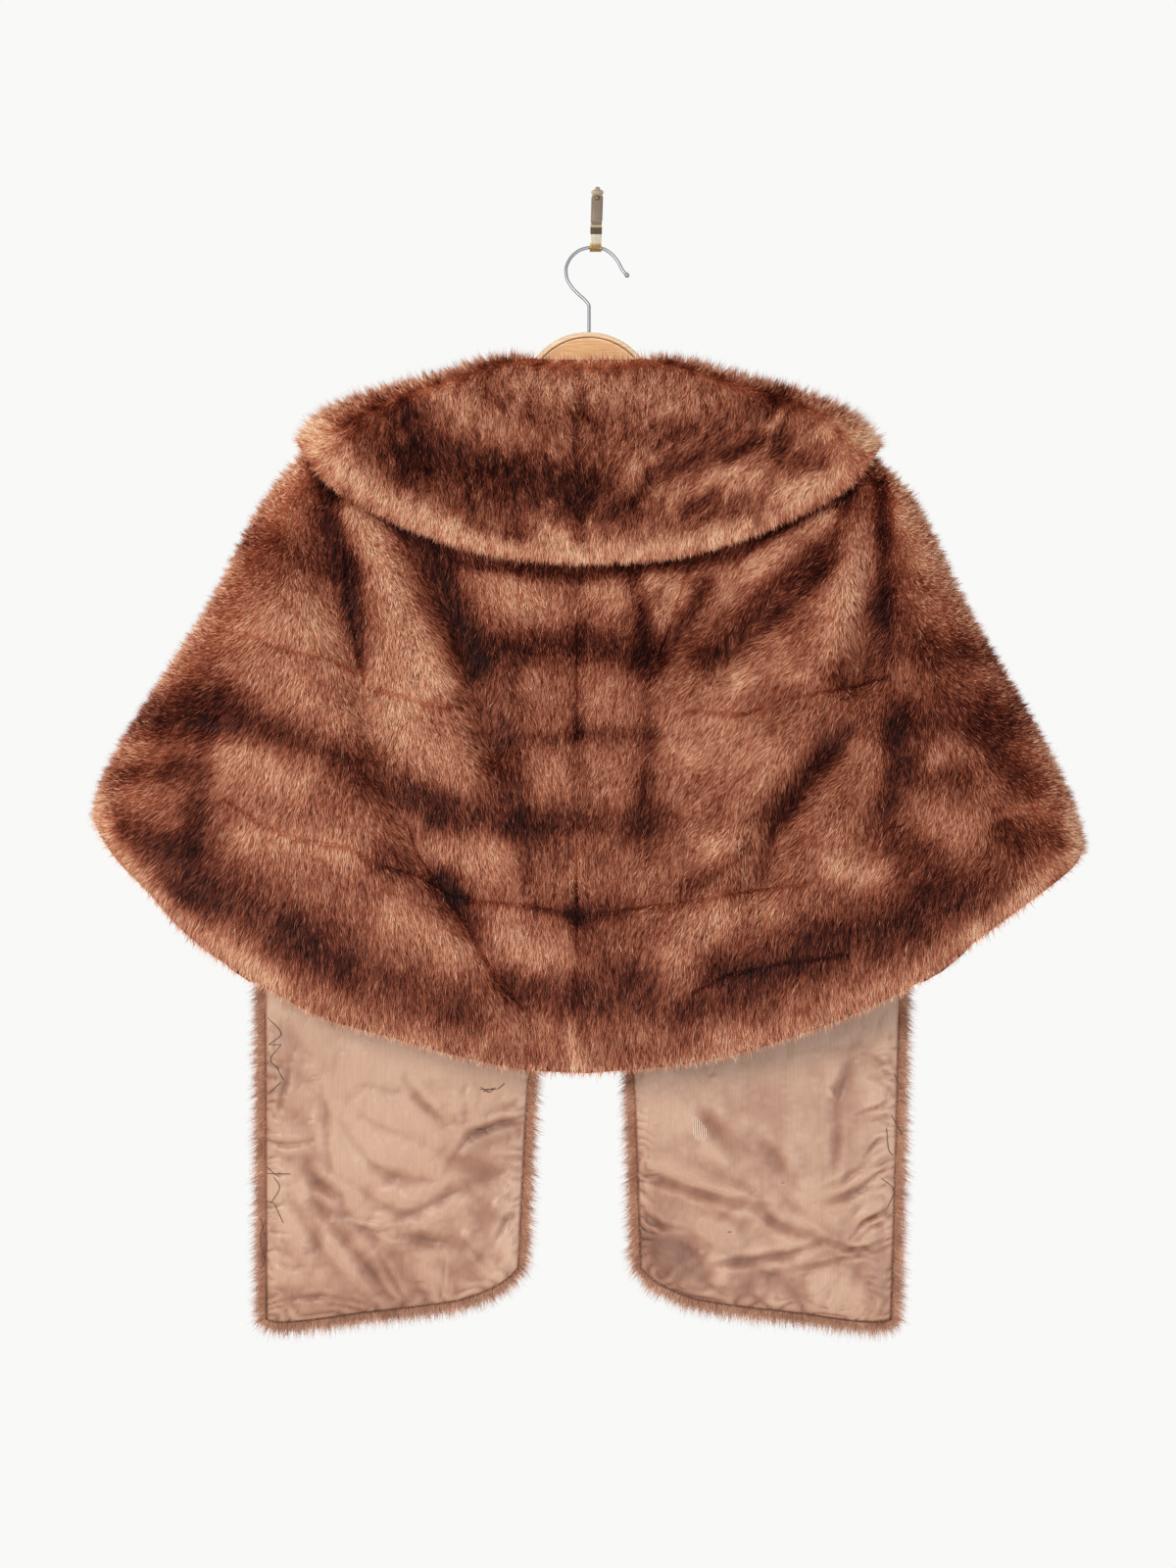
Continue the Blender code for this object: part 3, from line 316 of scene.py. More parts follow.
# Wrinkles of the stole ends' satin, in millimetres out from it
SATIN_WRINKLES = {
    "left": (
        (-2.00, 4, ((-293, -850), (-271, -851), (-250, -848))),
        (-2.20, 7, ((-256, -864), (-247, -884), (-225, -899), (-220, -914))),
        (-2.00, 8, ((-250, -899), (-231, -929), (-211, -949), (-194, -970), (-180, -991))),
        (+1.40, 3, ((-220, -919), (-191, -924), (-164, -923))),
        (+1.20, 3, ((-191, -933), (-178, -938), (-163, -938))),
        (-1.70, 5, ((-169, -789), (-151, -813), (-129, -833))),
        (-2.00, 5, ((-126, -866), (-107, -843), (-78, -831), (-52, -827))),
        (-1.80, 5, ((-89, -824), (-71, -816), (-52, -807))),
        (-1.30, 11, ((-123, -873), (-89, -876), (-58, -871))),
        (-1.60, 8, ((-197, -873), (-182, -882), (-167, -883))),
        (-1.80, 8, ((-178, -920), (-138, -902), (-98, -884))),
        (-2.20, 8, ((-178, -929), (-160, -935), (-115, -942))),
        (-1.60, 4, ((-194, -944), (-178, -973), (-165, -994))),
        (+1.00, 2, ((-126, -942), (-128, -969), (-131, -994))), (+1.00, 2, ((-120, -911), (-117, -931))),
        (-1.80, 4, ((-110, -940), (-98, -954), (-89, -965))), (-1.50, 3, ((-291, -805), (-277, -806))),
        (-1.50, 3, ((-291, -878), (-266, -879))), (-1.50, 3, ((-290, -905), (-274, -906))),
        (-1.60, 3, ((-290, -930), (-266, -931))), (-1.50, 4, ((-290, -956), (-266, -963), (-256, -961))),
        (-1.60, 3, ((-289, -980), (-274, -983))), (-1.80, 4, ((-268, -773), (-275, -800), (-282, -827))),
        (-1.60, 5, ((-240, -800), (-236, -844), (-233, -875))),
        (-1.50, 4, ((-52, -860), (-67, -864), (-84, -862))),
        (-1.60, 4, ((-57, -905), (-71, -915), (-89, -946))), (-1.50, 4, ((-59, -891), (-76, -899))),
        (-1.20, 3, ((-274, -991), (-240, -988), (-213, -992))), (-1.40, 4, ((-164, -994), (-173, -982))),
        (-1.50, 7, ((-266, -911), (-249, -933), (-244, -960))), (+1.50, 9, ((-240, -915), (-222, -960))),
        (+1.50, 11, ((-178, -893), (-142, -915))), (-1.20, 4, ((-115, -778), (-111, -809), (-112, -844))),
    ),
    "right": (
        (-2.10, 6, ((43, -873), (67, -883), (99, -894), (133, -904), (162, -907))),
        (-2.00, 6, ((151, -909), (173, -924), (192, -933), (211, -939))),
        (-2.00, 5, ((217, -937), (183, -950), (153, -955), (112, -960))),
        (-2.00, 4, ((217, -939), (244, -948), (273, -943))),
        (-1.40, 8, ((82, -791), (99, -818), (115, -838), (133, -866))),
        (-1.20, 8, ((142, -838), (169, -862), (185, -887))),
        (-1.80, 7, ((236, -776), (229, -797), (220, -825))),
        (-1.00, 5, ((226, -818), (224, -849), (222, -884))),
        (-2.40, 3, ((243, -823), (266, -816), (284, -803))),
        (-2.20, 3, ((257, -829), (268, -825), (283, -828))),
        (-2.60, 3, ((249, -862), (263, -847), (283, -842))),
        (-2.60, 3, ((236, -936), (250, -921), (277, -907))),
        (-2.20, 3, ((243, -937), (257, -925), (277, -919))),
        (-2.20, 5, ((201, -907), (233, -899), (270, -876))),
        (-2.40, 3, ((247, -889), (262, -877), (277, -866))), (-1.80, 4, ((42, -880), (46, -893), (57, -903))),
        (-1.80, 4, ((42, -899), (50, -915), (60, -930))), (-2.00, 4, ((42, -906), (67, -925), (86, -927))),
        (-2.40, 11, ((80, -937), (98, -951), (107, -966))),
        (-1.60, 8, ((150, -962), (165, -970), (160, -988))),
        (-2.20, 6, ((228, -969), (217, -986), (214, -1004))), (+1.40, 5, ((178, -908), (222, -935))),
        (+1.30, 5, ((89, -884), (142, -896))), (-1.60, 4, ((188, -964), (213, -960), (229, -954))),
        (-1.40, 3, ((191, -969), (216, -965))), (-1.60, 4, ((60, -791), (69, -812))),
        (-1.30, 4, ((43, -822), (49, -831))), (-1.30, 9, ((191, -853), (195, -875))),
        (-1.40, 4, ((253, -791), (271, -787), (284, -789))), (-1.30, 4, ((249, -784), (266, -796))),
        (-1.40, 4, ((204, -893), (231, -884), (266, -853))), (+1.20, 9, ((142, -933), (106, -924))),
        (-1.50, 5, ((99, -986), (111, -979))), (+1.20, 7, ((249, -969), (240, -1004))),
        (-1.20, 3, ((44, -862), (46, -875))), (-1.80, 3, ((229, -947), (250, -944), (276, -935))),
        (-2.00, 3, ((244, -893), (262, -890), (277, -884))),
        (-1.80, 3, ((222, -956), (248, -951), (262, -956))),
        (+1.60, 5, ((232, -926), (252, -912), (274, -900))),
        (+1.40, 5, ((240, -873), (262, -860), (280, -852))),
        (-1.80, 3, ((250, -768), (268, -777), (286, -774))),
        (-2.00, 3, ((262, -792), (274, -800), (286, -797))),
    ),
}
# Hand stitches on the satin, each a line (w, z)
MENDING = {
    "left": (
        ((-290.2, -736.5), (-277.8, -750.8), (-289.3, -760.6)), ((-289.3, -760.6), (-277.8, -760.6)),
        ((-277.8, -760.6), (-287.5, -774.8), (-279.5, -782.8)), ((-277.8, -794.4), (-289.3, -805.1)),
        ((-97.0, -799.0), (-90.0, -803.5), (-84.0, -799.5)), ((-95.0, -803.0), (-86.0, -800.0)),
        ((-291.3, -871.0), (-279.8, -879.9)), ((-291.3, -877.2), (-269.1, -877.2)),
        ((-284.2, -879.9), (-278.9, -888.8), (-286.9, -903.9)), ((-293.1, -902.1), (-284.2, -903.9)),
        ((-284.2, -903.9), (-275.4, -921.6)), ((-282.5, -779.6), (-275.4, -792.9)),
        ((-296.7, -917.2), (-293.1, -935.0), (-295.8, -958.0)),
        ((-292.2, -919.0), (-296.7, -936.7), (-292.2, -956.3)),
        ((-294.9, -924.3), (-291.3, -942.1), (-294.9, -961.6)), ((-97.8, -800.9), (-82.7, -800.9)),
        ((-81.8, -800.9), (-75.5, -795.5)), ((-101.3, -837.3), (-93.3, -837.3)),
    ),
    "right": (
        ((277.0, -786.7), (284.1, -801.8)), ((274.3, -824.0), (284.1, -841.7)),
        ((269.9, -835.5), (271.7, -855.0), (277.0, -862.1)),
        ((263.7, -879.9), (277.0, -893.2), (270.8, -908.3)), ((126.0, -929.6), (129.6, -929.6)),
    ),
}
# Pale darn on the right end: columns w, upper and lower z of each thread
DARN = ((94.5, -827, -842), (96.5, -825, -845), (98.5, -826, -847), (100.5, -828, -846), (102.5, -830, -848),
        (104.5, -833, -847), (106.5, -836, -845))
# Broad painted shade and painted light on the satin: its darker and lighter places
SATIN_PAINTED_SHADING = {
    "left": (
        (-0.9, 12, ((-269, -730), (-281, -802))),
        (-0.8, 16, ((-253, -866), (-229, -910), (-197, -942), (-161, -990))),
        (-0.8, 16, ((-285, -990), (-209, -1000), (-161, -990))),
        (-0.7, 12, ((-125, -862), (-93, -846), (-53, -830))),
        (-0.6, 18, ((-105, -874), (-89, -926), (-105, -958))),
        (-0.5, 12, ((-233, -938), (-197, -930), (-161, -942))), (+0.9, 30, ((-229, -802), (-209, -870))),
        (+0.7, 26, ((-161, -830), (-141, -890))), (+0.6, 14, ((-281, -958), (-237, -978))),
        (-0.5, 10, ((-285, -938), (-249, -942))), (-0.6, 26, ((-190, -870), (-150, -900))),
    ),
    "right": (
        (+0.8, 30, ((71, -800), (89, -907))), (+0.6, 22, ((178, -773), (222, -880))),
        (-0.8, 14, ((44, -880), (89, -911), (160, -920), (213, -938), (271, -960))),
        (-0.6, 14, ((89, -946), (142, -969), (204, -978))),
        (-0.7, 10, ((240, -756), (231, -809), (222, -871))), (-0.5, 18, ((49, -924), (80, -969))),
        (+0.6, 14, ((151, -942), (231, -915))), (-0.5, 14, ((249, -969), (275, -1004))),
        (-1.9, 24, ((58, -935), (76, -962), (92, -985))), (-1.1, 20, ((128, -975), (150, -990), (190, -992))),
        (-0.7, 30, ((120, -850), (150, -870))), (+0.8, 14, ((215, -985), (240, -1000))),
    ),
}
# Sewn lines and sharp creases of the back, where the nap parts: how far, width, line
PARTINGS = (
    (0.68, 1.9, ((-215, -317), (-212, -353), (-206, -394), (-197, -433))),
    (0.35, 2.5, ((-138, -317), (-126, -353), (-111, -388), (-93, -418), (-78, -454), (-66, -496))),
    (0.30, 2.5, ((-397, -469), (-328, -463), (-272, -487), (-215, -502), (-188, -525), (-152, -546))),
    (0.90, 1.3, ((-319, -537), (-289, -558), (-254, -573), (-212, -579), (-182, -597), (-152, -603),
                 (-129, -618), (-99, -627), (-63, -630), (-10, -639))),
    (0.81, 1.3, ((-194, -439), (-170, -445), (-141, -454), (-111, -457))),
    (0.63, 1.3, ((-301, -391), (-272, -406), (-224, -415), (-206, -427))),
    (0.60, 1.9, ((-158, -561), (-152, -585), (-129, -615), (-99, -662), (-81, -698), (-57, -722))),
    (0.52, 1.6, ((-111, -633), (-99, -668), (-69, -704))), (0.68, 1.7, ((-10, -382), (-10, -484))),
    (0.68, 1.7, ((-10, -573), (-10, -668))), (0.60, 1.9, ((-57, -317), (-63, -359))),
    (0.45, 2.2, ((44, -317), (47, -400), (56, -418))), (0.60, 1.9, ((89, -335), (74, -382), (62, -412))),
    (0.46, 1.3, ((-69, -487), (-41, -481), (-10, -484), (24, -477), (56, -481))),
    (0.45, 2.2, ((261, -317), (258, -377), (243, -430))),
    (0.35, 2.5, ((217, -496), (181, -537), (151, -585))), (0.35, 2.2, ((121, -650), (104, -698), (68, -734))),
    (0.50, 2.2, ((267, -469), (271, -513), (261, -567))),
    (0.72, 1.3, ((193, -445), (235, -439), (264, -430))), (0.72, 1.3, ((86, -460), (139, -463), (154, -457))),
    (0.72, 1.4, ((92, -707), (121, -692), (181, -680), (229, -674))),
    (0.63, 1.3, ((-10, -641), (86, -627), (145, -618), (193, -612))), (0.72, 1.3, ((354, -546), (413, -546))),
    (0.54, 1.3, ((145, -317), (121, -341))), (0.25, 2.2, ((-355, -543), (-346, -579), (-352, -609))),
    (0.45, 1.7, ((-313, -621), (-254, -650), (-200, -680))),
)
# Crests where the nap stands up and its dark tips show: how far, width, line
CRESTS = (
    (1.00, 7, ((-173, -317), (-164, -377), (-152, -430))), (0.80, 9, ((-141, -466), (-117, -513))),
    (1.00, 7, ((104, -650), (80, -698), (68, -728))), (1.00, 7, ((139, -555), (133, -597))),
    (0.70, 7, ((62, -341), (68, -382))), (0.60, 10, ((288, -341), (300, -388))),
    (0.70, 8, ((211, -394), (181, -460))), (0.60, 9, ((-254, -388), (-272, -424))),
    (0.50, 12, ((-10, -579), (-13, -615))), (0.50, 8, ((-10, -734), (-13, -781))),
)
# Lie of the hairs: angle from straight down, in degrees, positive to the right, at places w and heights z
FLOW_W = (-410, -320, -230, -150, -8, 90, 180, 260, 350, 420)
FLOW = (
    (-260, (-30, -20, 0, 12, 0, -20, -30, -5, 20, 30)),
    (-340, (-30, -18, 5, 15, 0, -35, -40, -8, 20, 30)),
    (-480, (-45, -30, -8, 20, 0, -35, -35, -15, 12, 28)),
    (-600, (-40, -22, 5, 16, 0, -30, -18, -30, -32, 14)),
    (-760, (-30, -22, -10, 0, 0, -5, -8, 10, 25, 30)),
)
COLLAR_FLOW = (
    (-150, (-40, -35, -22, -8, 0, 12, 25, 35, 40, 40)),
    (-230, (-30, -28, -25, 10, 4, -38, -42, 20, 30, 30)),
    (-290, (-20, -18, -20, -12, 0, -20, -20, 10, 20, 20)),
    (-330, (-20, -18, -16, -12, 0, 4, 8, 12, 20, 20)),
)


class Sheet(NamedTuple):
    """Tables of one sheet; its edges are heights at the neck and at the hem."""
    fold: dict
    spread: float
    back: tuple
    front: tuple
    back_rise: dict
    front_rise: tuple
    depth: tuple
    loft: float
    ripples: tuple


BODY = Sheet(SIDE_FOLD, 1.55, (NECK_Z, HEM_Z), (NECK_Z, PANEL_TOP), HEM_RISE, FRONT_HEM_RISE, BODY_DEPTH,
             LOFT, BACK_RIPPLES)
UNLOFTED = BODY._replace(loft=0.0, ripples=())
COLLAR = Sheet(COLLAR_FOLD, 1.35, (COLLAR_TOP, COLLAR_BOTTOM), (LAPEL_TOP, LAPEL_BOTTOM),
               dict.fromkeys(SIDES, COLLAR_RISE), LAPEL_RISE, COLLAR_DEPTH, 0.0, COLLAR_RIPPLES)


# ---------------------------------------------------------------- curves
def curve(rows, at):
    """Smooth curve through a table's rows: its first column is the place, the rest are values. Each slope is
    the harmonic mean of its neighbours', so the curve never overshoots a row."""
    rows = np.asarray(rows, float)
    place, value = rows[:, 0], rows[:, 1:]
    step = np.diff(place)[:, None]
    slope = np.diff(value, axis=0) / step
    before, after = slope[:-1], slope[1:]
    same_way = before * after > 0
    total = np.where(same_way, before + after, 1.0)
    inner = np.where(same_way, 2 * before * after / total, 0.0)
    slopes = np.vstack([slope[:1], inner, slope[-1:]])
    at = np.clip(np.asarray(at, float), place[0], place[-1])
    k = np.clip(np.searchsorted(place, at, side="right") - 1, 0, len(place) - 2)
    h = step[k]
    t = ((at - place[k]) / step[k, 0])[..., None]
    return ((2 * t ** 3 - 3 * t ** 2 + 1) * value[k] + (t ** 3 - 2 * t ** 2 + t) * h * slopes[k]
            + (3 * t ** 2 - 2 * t ** 3) * value[k + 1] + (t ** 3 - t ** 2) * h * slopes[k + 1])


def by_length(points):
    """Table of points with the share of the line's length in front."""
    points = np.asarray(points, float)
    length = np.concatenate([[0], np.cumsum(np.linalg.norm(np.diff(points, axis=0), axis=1))])
    return np.column_stack([length / length[-1], points])


def ease(low, high, value):
    """0 below low, 1 above high, with a smooth step between."""
    t = np.clip((value - low) / (high - low), 0, 1)
    return t * t * (3 - 2 * t)


def unit(vectors):
    return vectors / np.maximum(np.linalg.norm(vectors, axis=-1, keepdims=True), 1e-9)


def distance_to(line, w, z):
    """Shortest distance from each point to a line of straight stretches."""
    nearest = np.full(np.shape(w), np.inf)
    for (w0, z0), (w1, z1) in zip(line[:-1], line[1:]):
        along = ((w - w0) * (w1 - w0) + (z - z0) * (z1 - z0)) / ((w1 - w0) ** 2 + (z1 - z0) ** 2)
        along = np.clip(along, 0, 1)
        nearest = np.minimum(nearest, np.hypot(w - w0 - along * (w1 - w0), z - z0 - along * (z1 - z0)))
    return nearest


def strokes(table, w, z):
    """Sum of a table's strokes: each is its strength times a bell across its line."""
    total = np.zeros(np.shape(w))
    for strength, width, line in table:
        total += strength * np.exp(-(distance_to(line, w, z) / width) ** 2)
    return total


def creased_satin(table, w, z):
    """Relief of folded satin. Each row's furrow is deepest in the middle of its line and runs out at both
    ends. Satin pushed out of it stands up along both its sides."""
    total = np.zeros(np.shape(w))
    for height, width, line in table:
        away = distance_to(line, w, z)
        ends = np.minimum(*(np.hypot(w - a, z - b) for a, b in (line[0], line[-1])))
        taper = .25 + .75 * ease(0, 30, ends)
        spread = .8 * width * (.5 + .5 * taper)
        total += height * taper * (np.exp(-(away / spread) ** 1.4)
                                   - .45 * np.exp(-((away - 2.0 * spread) / (.9 * spread)) ** 2))
    return total


def mottle(seed, size, w, z):
    """Smooth random field of about unit spread: the sum of 16 plane waves, each about `size` long, in random
    directions."""
    rng = np.random.default_rng(seed)
    angle, phase = rng.uniform(0, math.tau, (2, 16))
    length = size * rng.uniform(.7, 1.6, 16)
    total = np.zeros(np.shape(w))
    for a, p, l in zip(angle, phase, length):
        total += np.sin(math.tau * (w * math.cos(a) + z * math.sin(a)) / l + p)
    return total / math.sqrt(8)


def lie(table, w, z):
    """Angle of the hairs at each point, in radians: between the table's rows and columns, with gentle
    swirls."""
    rows = np.stack([np.interp(w, FLOW_W, angles) for _, angles in table])
    heights = np.array([-row[0] for row in table], float)
    k = np.clip(np.searchsorted(heights, -z) - 1, 0, len(heights) - 2)
    t = np.clip((-z - heights[k]) / (heights[k + 1] - heights[k]), 0, 1)
    lower = np.take_along_axis(rows, (k + 1)[None], 0)[0]
    upper = np.take_along_axis(rows, k[None], 0)[0]
    return np.radians(upper + (lower - upper) * t + 5 * mottle(5, 70, w, z) + 4 * mottle(6, 28, w, z))


# ---------------------------------------------------------------- sheets
def creased(w, z):
    """Share of the loft left at a point: 1 between the creases, less in each, as a bell across its line."""
    left = np.ones(np.shape(w))
    for width, depth, line in CREASES:
        left = left * (1 - depth * np.exp(-(distance_to(line, w, z) / width) ** 2))
    return left


def row_ends(sheet, side, v, back):
    """Where a row ends: its inner edge w, its fold's w and z, and the width of its rolled fold, which is the
    fold's radius, but never more than most of a short row."""
    fold = curve(by_length(sheet.fold[side]), 1 - (1 - v) ** sheet.spread)
    edge = np.where(back, 0.0, PANELS[side][0])
    rolled = np.minimum(curve(sheet.depth, v)[..., 3], ROLL_SHARE * (fold[..., 0] - edge))
    return edge, fold[..., 0], fold[..., 1], rolled


def middle(sheet, side, u, v):
    """Points of the sheet's middle. Across, a row goes from its inner edge out to the fold, and climbs by the
    sheet's rise table, which at the neck is a plain power of the way out. In depth it is a quarter of an
    ellipse from the fold to the flat. The back stands out further by its loft between the creases, and by the
    ripples, which fade at the side fold."""
    sign = -1 if side == "left" else 1
    back = u <= 1
    out = np.where(back, u, 2 - u)
    edge, fold_w, fold_z, rolled = row_ends(sheet, side, v, back)
    depth = curve(sheet.depth, v)
    top = np.where(back, sheet.back[0], sheet.front[0])
    bottom = np.where(back, sheet.back[1], sheet.front[1])
    rise = np.where(back, curve(sheet.back_rise[side], out)[..., 0], curve(sheet.front_rise, out)[..., 0])
    climb = (1 - v ** 2) * out ** 1.7 + v ** 2 * rise
    inner_z = top + (bottom - top) * v
    w = edge + (fold_w - edge) * out
    z = inner_z + (fold_z - inner_z) * climb
    flat = np.where(back, depth[..., 0], depth[..., 2])
    share = np.clip((1 - out) * (fold_w - edge) / rolled, 0, 1)
    y = depth[..., 1] + (flat - depth[..., 1]) * np.sqrt(1 - (1 - share) ** 2)
    room = ease(.20, .44, v) * (1 - ease(.84, 1, v)) * (1 - ease(.80, .96, out)) * back
    y = y - sheet.loft * room * creased(sign * w, z)
    if sheet.ripples:
        y = y - strokes(sheet.ripples, sign * w, z) * (1 - ease(.88, .98, out)) * back
    return np.stack([CENTRE_X + sign * w, y, z], axis=-1)


def outward(sheet, side, u, v):
    """Unit normals of the sheet's middle, pointing out of the garment, from small steps in u and v."""
    step = 1e-3
    across = middle(sheet, side, np.minimum(u + step, 2), v) - middle(sheet, side, np.maximum(u - step, 0), v)
    down = middle(sheet, side, u, np.minimum(v + step, 1)) - middle(sheet, side, u, np.maximum(v - step, 0))
    normal = np.cross(across, down) if side == "left" else np.cross(down, across)
    normal[..., 0] = np.where(u < step, 0.0, normal[..., 0])
    return unit(normal)


def grid(sheet, side, v, cells, front=False):
    """Parameters of a grid over one side of the back or of the front: cells[0] columns over the flat, evenly
    spaced, and cells[1] round half of the rolled fold, at even angles. The nap hides the seams, so the hides
    meet there, but for a hair's breadth."""
    flat, rolled = cells
    v = np.asarray(v, float)[None, :]
    edge, fold_w, _, radius = row_ends(sheet, side, v, not front)
    width = fold_w - edge
    start = 0.01 / width
    level = start + np.linspace(0, 1, flat + 1)[:, None] * (1 - radius / width - start)
    angle = np.maximum(np.linspace(math.pi / 2, 0, rolled + 1)[1:, None], 0.01 / radius)
    out = np.vstack([level, 1 - radius / width * (1 - np.cos(angle))])
    u = 2 - out[::-1] if front else out
    return u, np.broadcast_to(v, u.shape)


# ---------------------------------------------------------------- meshes
def placed(name, mesh, material, attributes):
    """Object of a finished mesh, with its attributes' values at its points and its material."""
    for label, values in dict(attributes).items():
        layer = mesh.attributes.new(label, "FLOAT", "POINT")
        layer.data.foreach_set("value", np.asarray(values, np.float32).ravel())
    mesh.materials.append(material)
    made = bpy.data.objects.new(name, mesh)
    bpy.context.scene.collection.objects.link(made)
    return made


def add(name, points, faces, material, smooth=True, attributes=()):
    """Object from points in millimetres and an array of faces, each a row of corners."""
    points, faces = np.asarray(points, float).reshape(-1, 3), np.asarray(faces)
    mesh = bpy.data.meshes.new(name)
    mesh.vertices.add(len(points))
    mesh.vertices.foreach_set("co", (points * MM).ravel())
    mesh.loops.add(faces.size)
    mesh.loops.foreach_set("vertex_index", faces.ravel().astype(np.int32))
    mesh.polygons.add(len(faces))
    mesh.polygons.foreach_set("loop_start", np.arange(0, faces.size, faces.shape[1], dtype=np.int32))
    mesh.update(calc_edges=True)
    mesh.polygons.foreach_set("use_smooth", np.full(len(faces), smooth))
    return placed(name, mesh, material, attributes)


def quads_of(columns, count):
    """Faces of a grid of points, as rows of corners."""
    index = np.arange(columns * count).reshape(columns, count)
    return np.stack([index[:-1, :-1], index[1:, :-1], index[1:, 1:], index[:-1, 1:]], axis=-1).reshape(-1, 4)


def wall(name, centre, normal, inner, outer, material, attributes=()):
    """Closed wall on a grid of points: the grid moved to both distances along its normals, and four rims."""
    columns, count = centre.shape[:2]
    total = columns * count
    faces = [(centre + np.asarray(reach)[..., None] * normal).reshape(-1, 3) for reach in (outer, inner)]
    index = np.arange(total).reshape(columns, count)
    quads = quads_of(columns, count)
    rims = []
    for edge, reverse in ((index[:, 0], False), (index[-1], False), (index[:, -1], True), (index[0], True)):
        rim = np.stack([edge[1:], edge[:-1], edge[:-1] + total, edge[1:] + total], axis=-1)
        rims.append(rim[:, ::-1] if reverse else rim)
    doubled = {label: np.tile(np.ravel(values), 2) for label, values in dict(attributes).items()}
    made = add(name, np.concatenate(faces), np.concatenate([quads, quads[:, ::-1] + total, *rims]), material,
               True, doubled)
    made.data.set_sharp_from_angle(angle=SHARP)
    return made


def swept(name, rings, material, attributes=()):
    """Closed solid through rings of points; the ends close on the middle of their ring."""
    rings = np.asarray(rings, float)
    stations, around = rings.shape[:2]
    index = np.arange(stations * around).reshape(stations, around)
    after = np.roll(index, -1, axis=1)
    sides = np.stack([index[:-1], after[:-1], after[1:], index[1:]], axis=-1).reshape(-1, 4)
    first, last = stations * around, stations * around + 1
    caps = np.vstack([np.stack([np.full(around, first), after[0], index[0]], -1),
                      np.stack([np.full(around, last), index[-1], after[-1]], -1)])
    points = np.concatenate([rings.reshape(-1, 3), rings[0].mean(0)[None], rings[-1].mean(0)[None]])
    mesh = bpy.data.meshes.new(name)
    mesh.from_pydata((points * MM).tolist(), [], sides.tolist() + caps.tolist())
    mesh.update()
    mesh.shade_smooth()
    mesh.set_sharp_from_angle(angle=SHARP)
    return placed(name, mesh, material, attributes)


def tube(line, radius, around=6):
    """Rings round a line of points: circles square to it, turned by its own frame."""
    line = np.asarray(line, float)
    along = unit(np.gradient(line, axis=0))
    side = unit(np.cross(along, (0.13, 1, 0.21)))
    up = np.cross(side, along)
    angle = np.linspace(0, math.tau, around, endpoint=False)
    radius = np.broadcast_to(radius, len(line))[:, None, None]
    return line[:, None] + radius * (np.cos(angle)[None, :, None] * side[:, None]
                                     + np.sin(angle)[None, :, None] * up[:, None])


# ---------------------------------------------------------------- materials
MULTIPLY = {"data_type": "RGBA", "blend_type": "MULTIPLY"}


def linear(colour):
    """Linear colour of an sRGB hex value."""
    srgb = [int(colour[i:i + 2], 16) / 255 for i in (1, 3, 5)]
    return (*(c / 12.92 if c <= 0.04045 else ((c + 0.055) / 1.055) ** 2.4 for c in srgb), 1.0)


def node(tree, kind, inputs=None, stops=(), **settings):
    """A node with its settings and its inputs, each a value, a hex colour or another node's output. Stops are
    the places and colours of a colour ramp."""
    made = tree.nodes.new(kind)
    for key, value in settings.items():
        setattr(made, key, value)
    for key, value in (inputs or {}).items():
        if isinstance(value, bpy.types.NodeSocket):
            tree.links.new(value, made.inputs[key])
        else:
            made.inputs[key].default_value = linear(value) if isinstance(value, str) else value
    for k, (place, colour) in enumerate(stops):
        elements = made.color_ramp.elements
        element = elements[k] if k < 2 else elements.new(place)
        element.position = place
        element.color = linear(colour)
    return made


def surface(name, **constants):
    """New material with a Principled shader whose named sockets hold constants, its tree and its shader."""
    made = bpy.data.materials.new(name)
    made.use_nodes = True
    shader = made.node_tree.nodes["Principled BSDF"]
    for key, value in constants.items():
        key = key.replace("_", " ")
        shader.inputs[key].default_value = linear(value) if isinstance(value, str) else value
    return made, made.node_tree, shader


def hair_material(name, ramp, lengthwise):
    """Mink guard hair: keratin, smooth and a little glossy, paler along its middle than at its dark tip.
    Where its root is darker, that is painted shade deep in the nap. Tone runs across the map, root to tip up
    it."""
    made, tree, shader = surface(name, Roughness=0.48, Specular_IOR_Level=0.12)
    uv = node(tree, "ShaderNodeUVMap", uv_map="OFBake")
    place = node(tree, "ShaderNodeSeparateXYZ", {0: uv.outputs[0]})
    tone = node(tree, "ShaderNodeValToRGB", {"Fac": place.outputs["X"]}, stops=ramp)
    length = node(tree, "ShaderNodeValToRGB", {"Fac": place.outputs["Y"]}, stops=lengthwise)
    shaded = node(tree, "ShaderNodeMix", {0: 1.0, 6: tone.outputs[0], 7: length.outputs[0]}, **MULTIPLY)
    tree.links.new(shaded.outputs[2], shader.inputs["Base Color"])
    return made


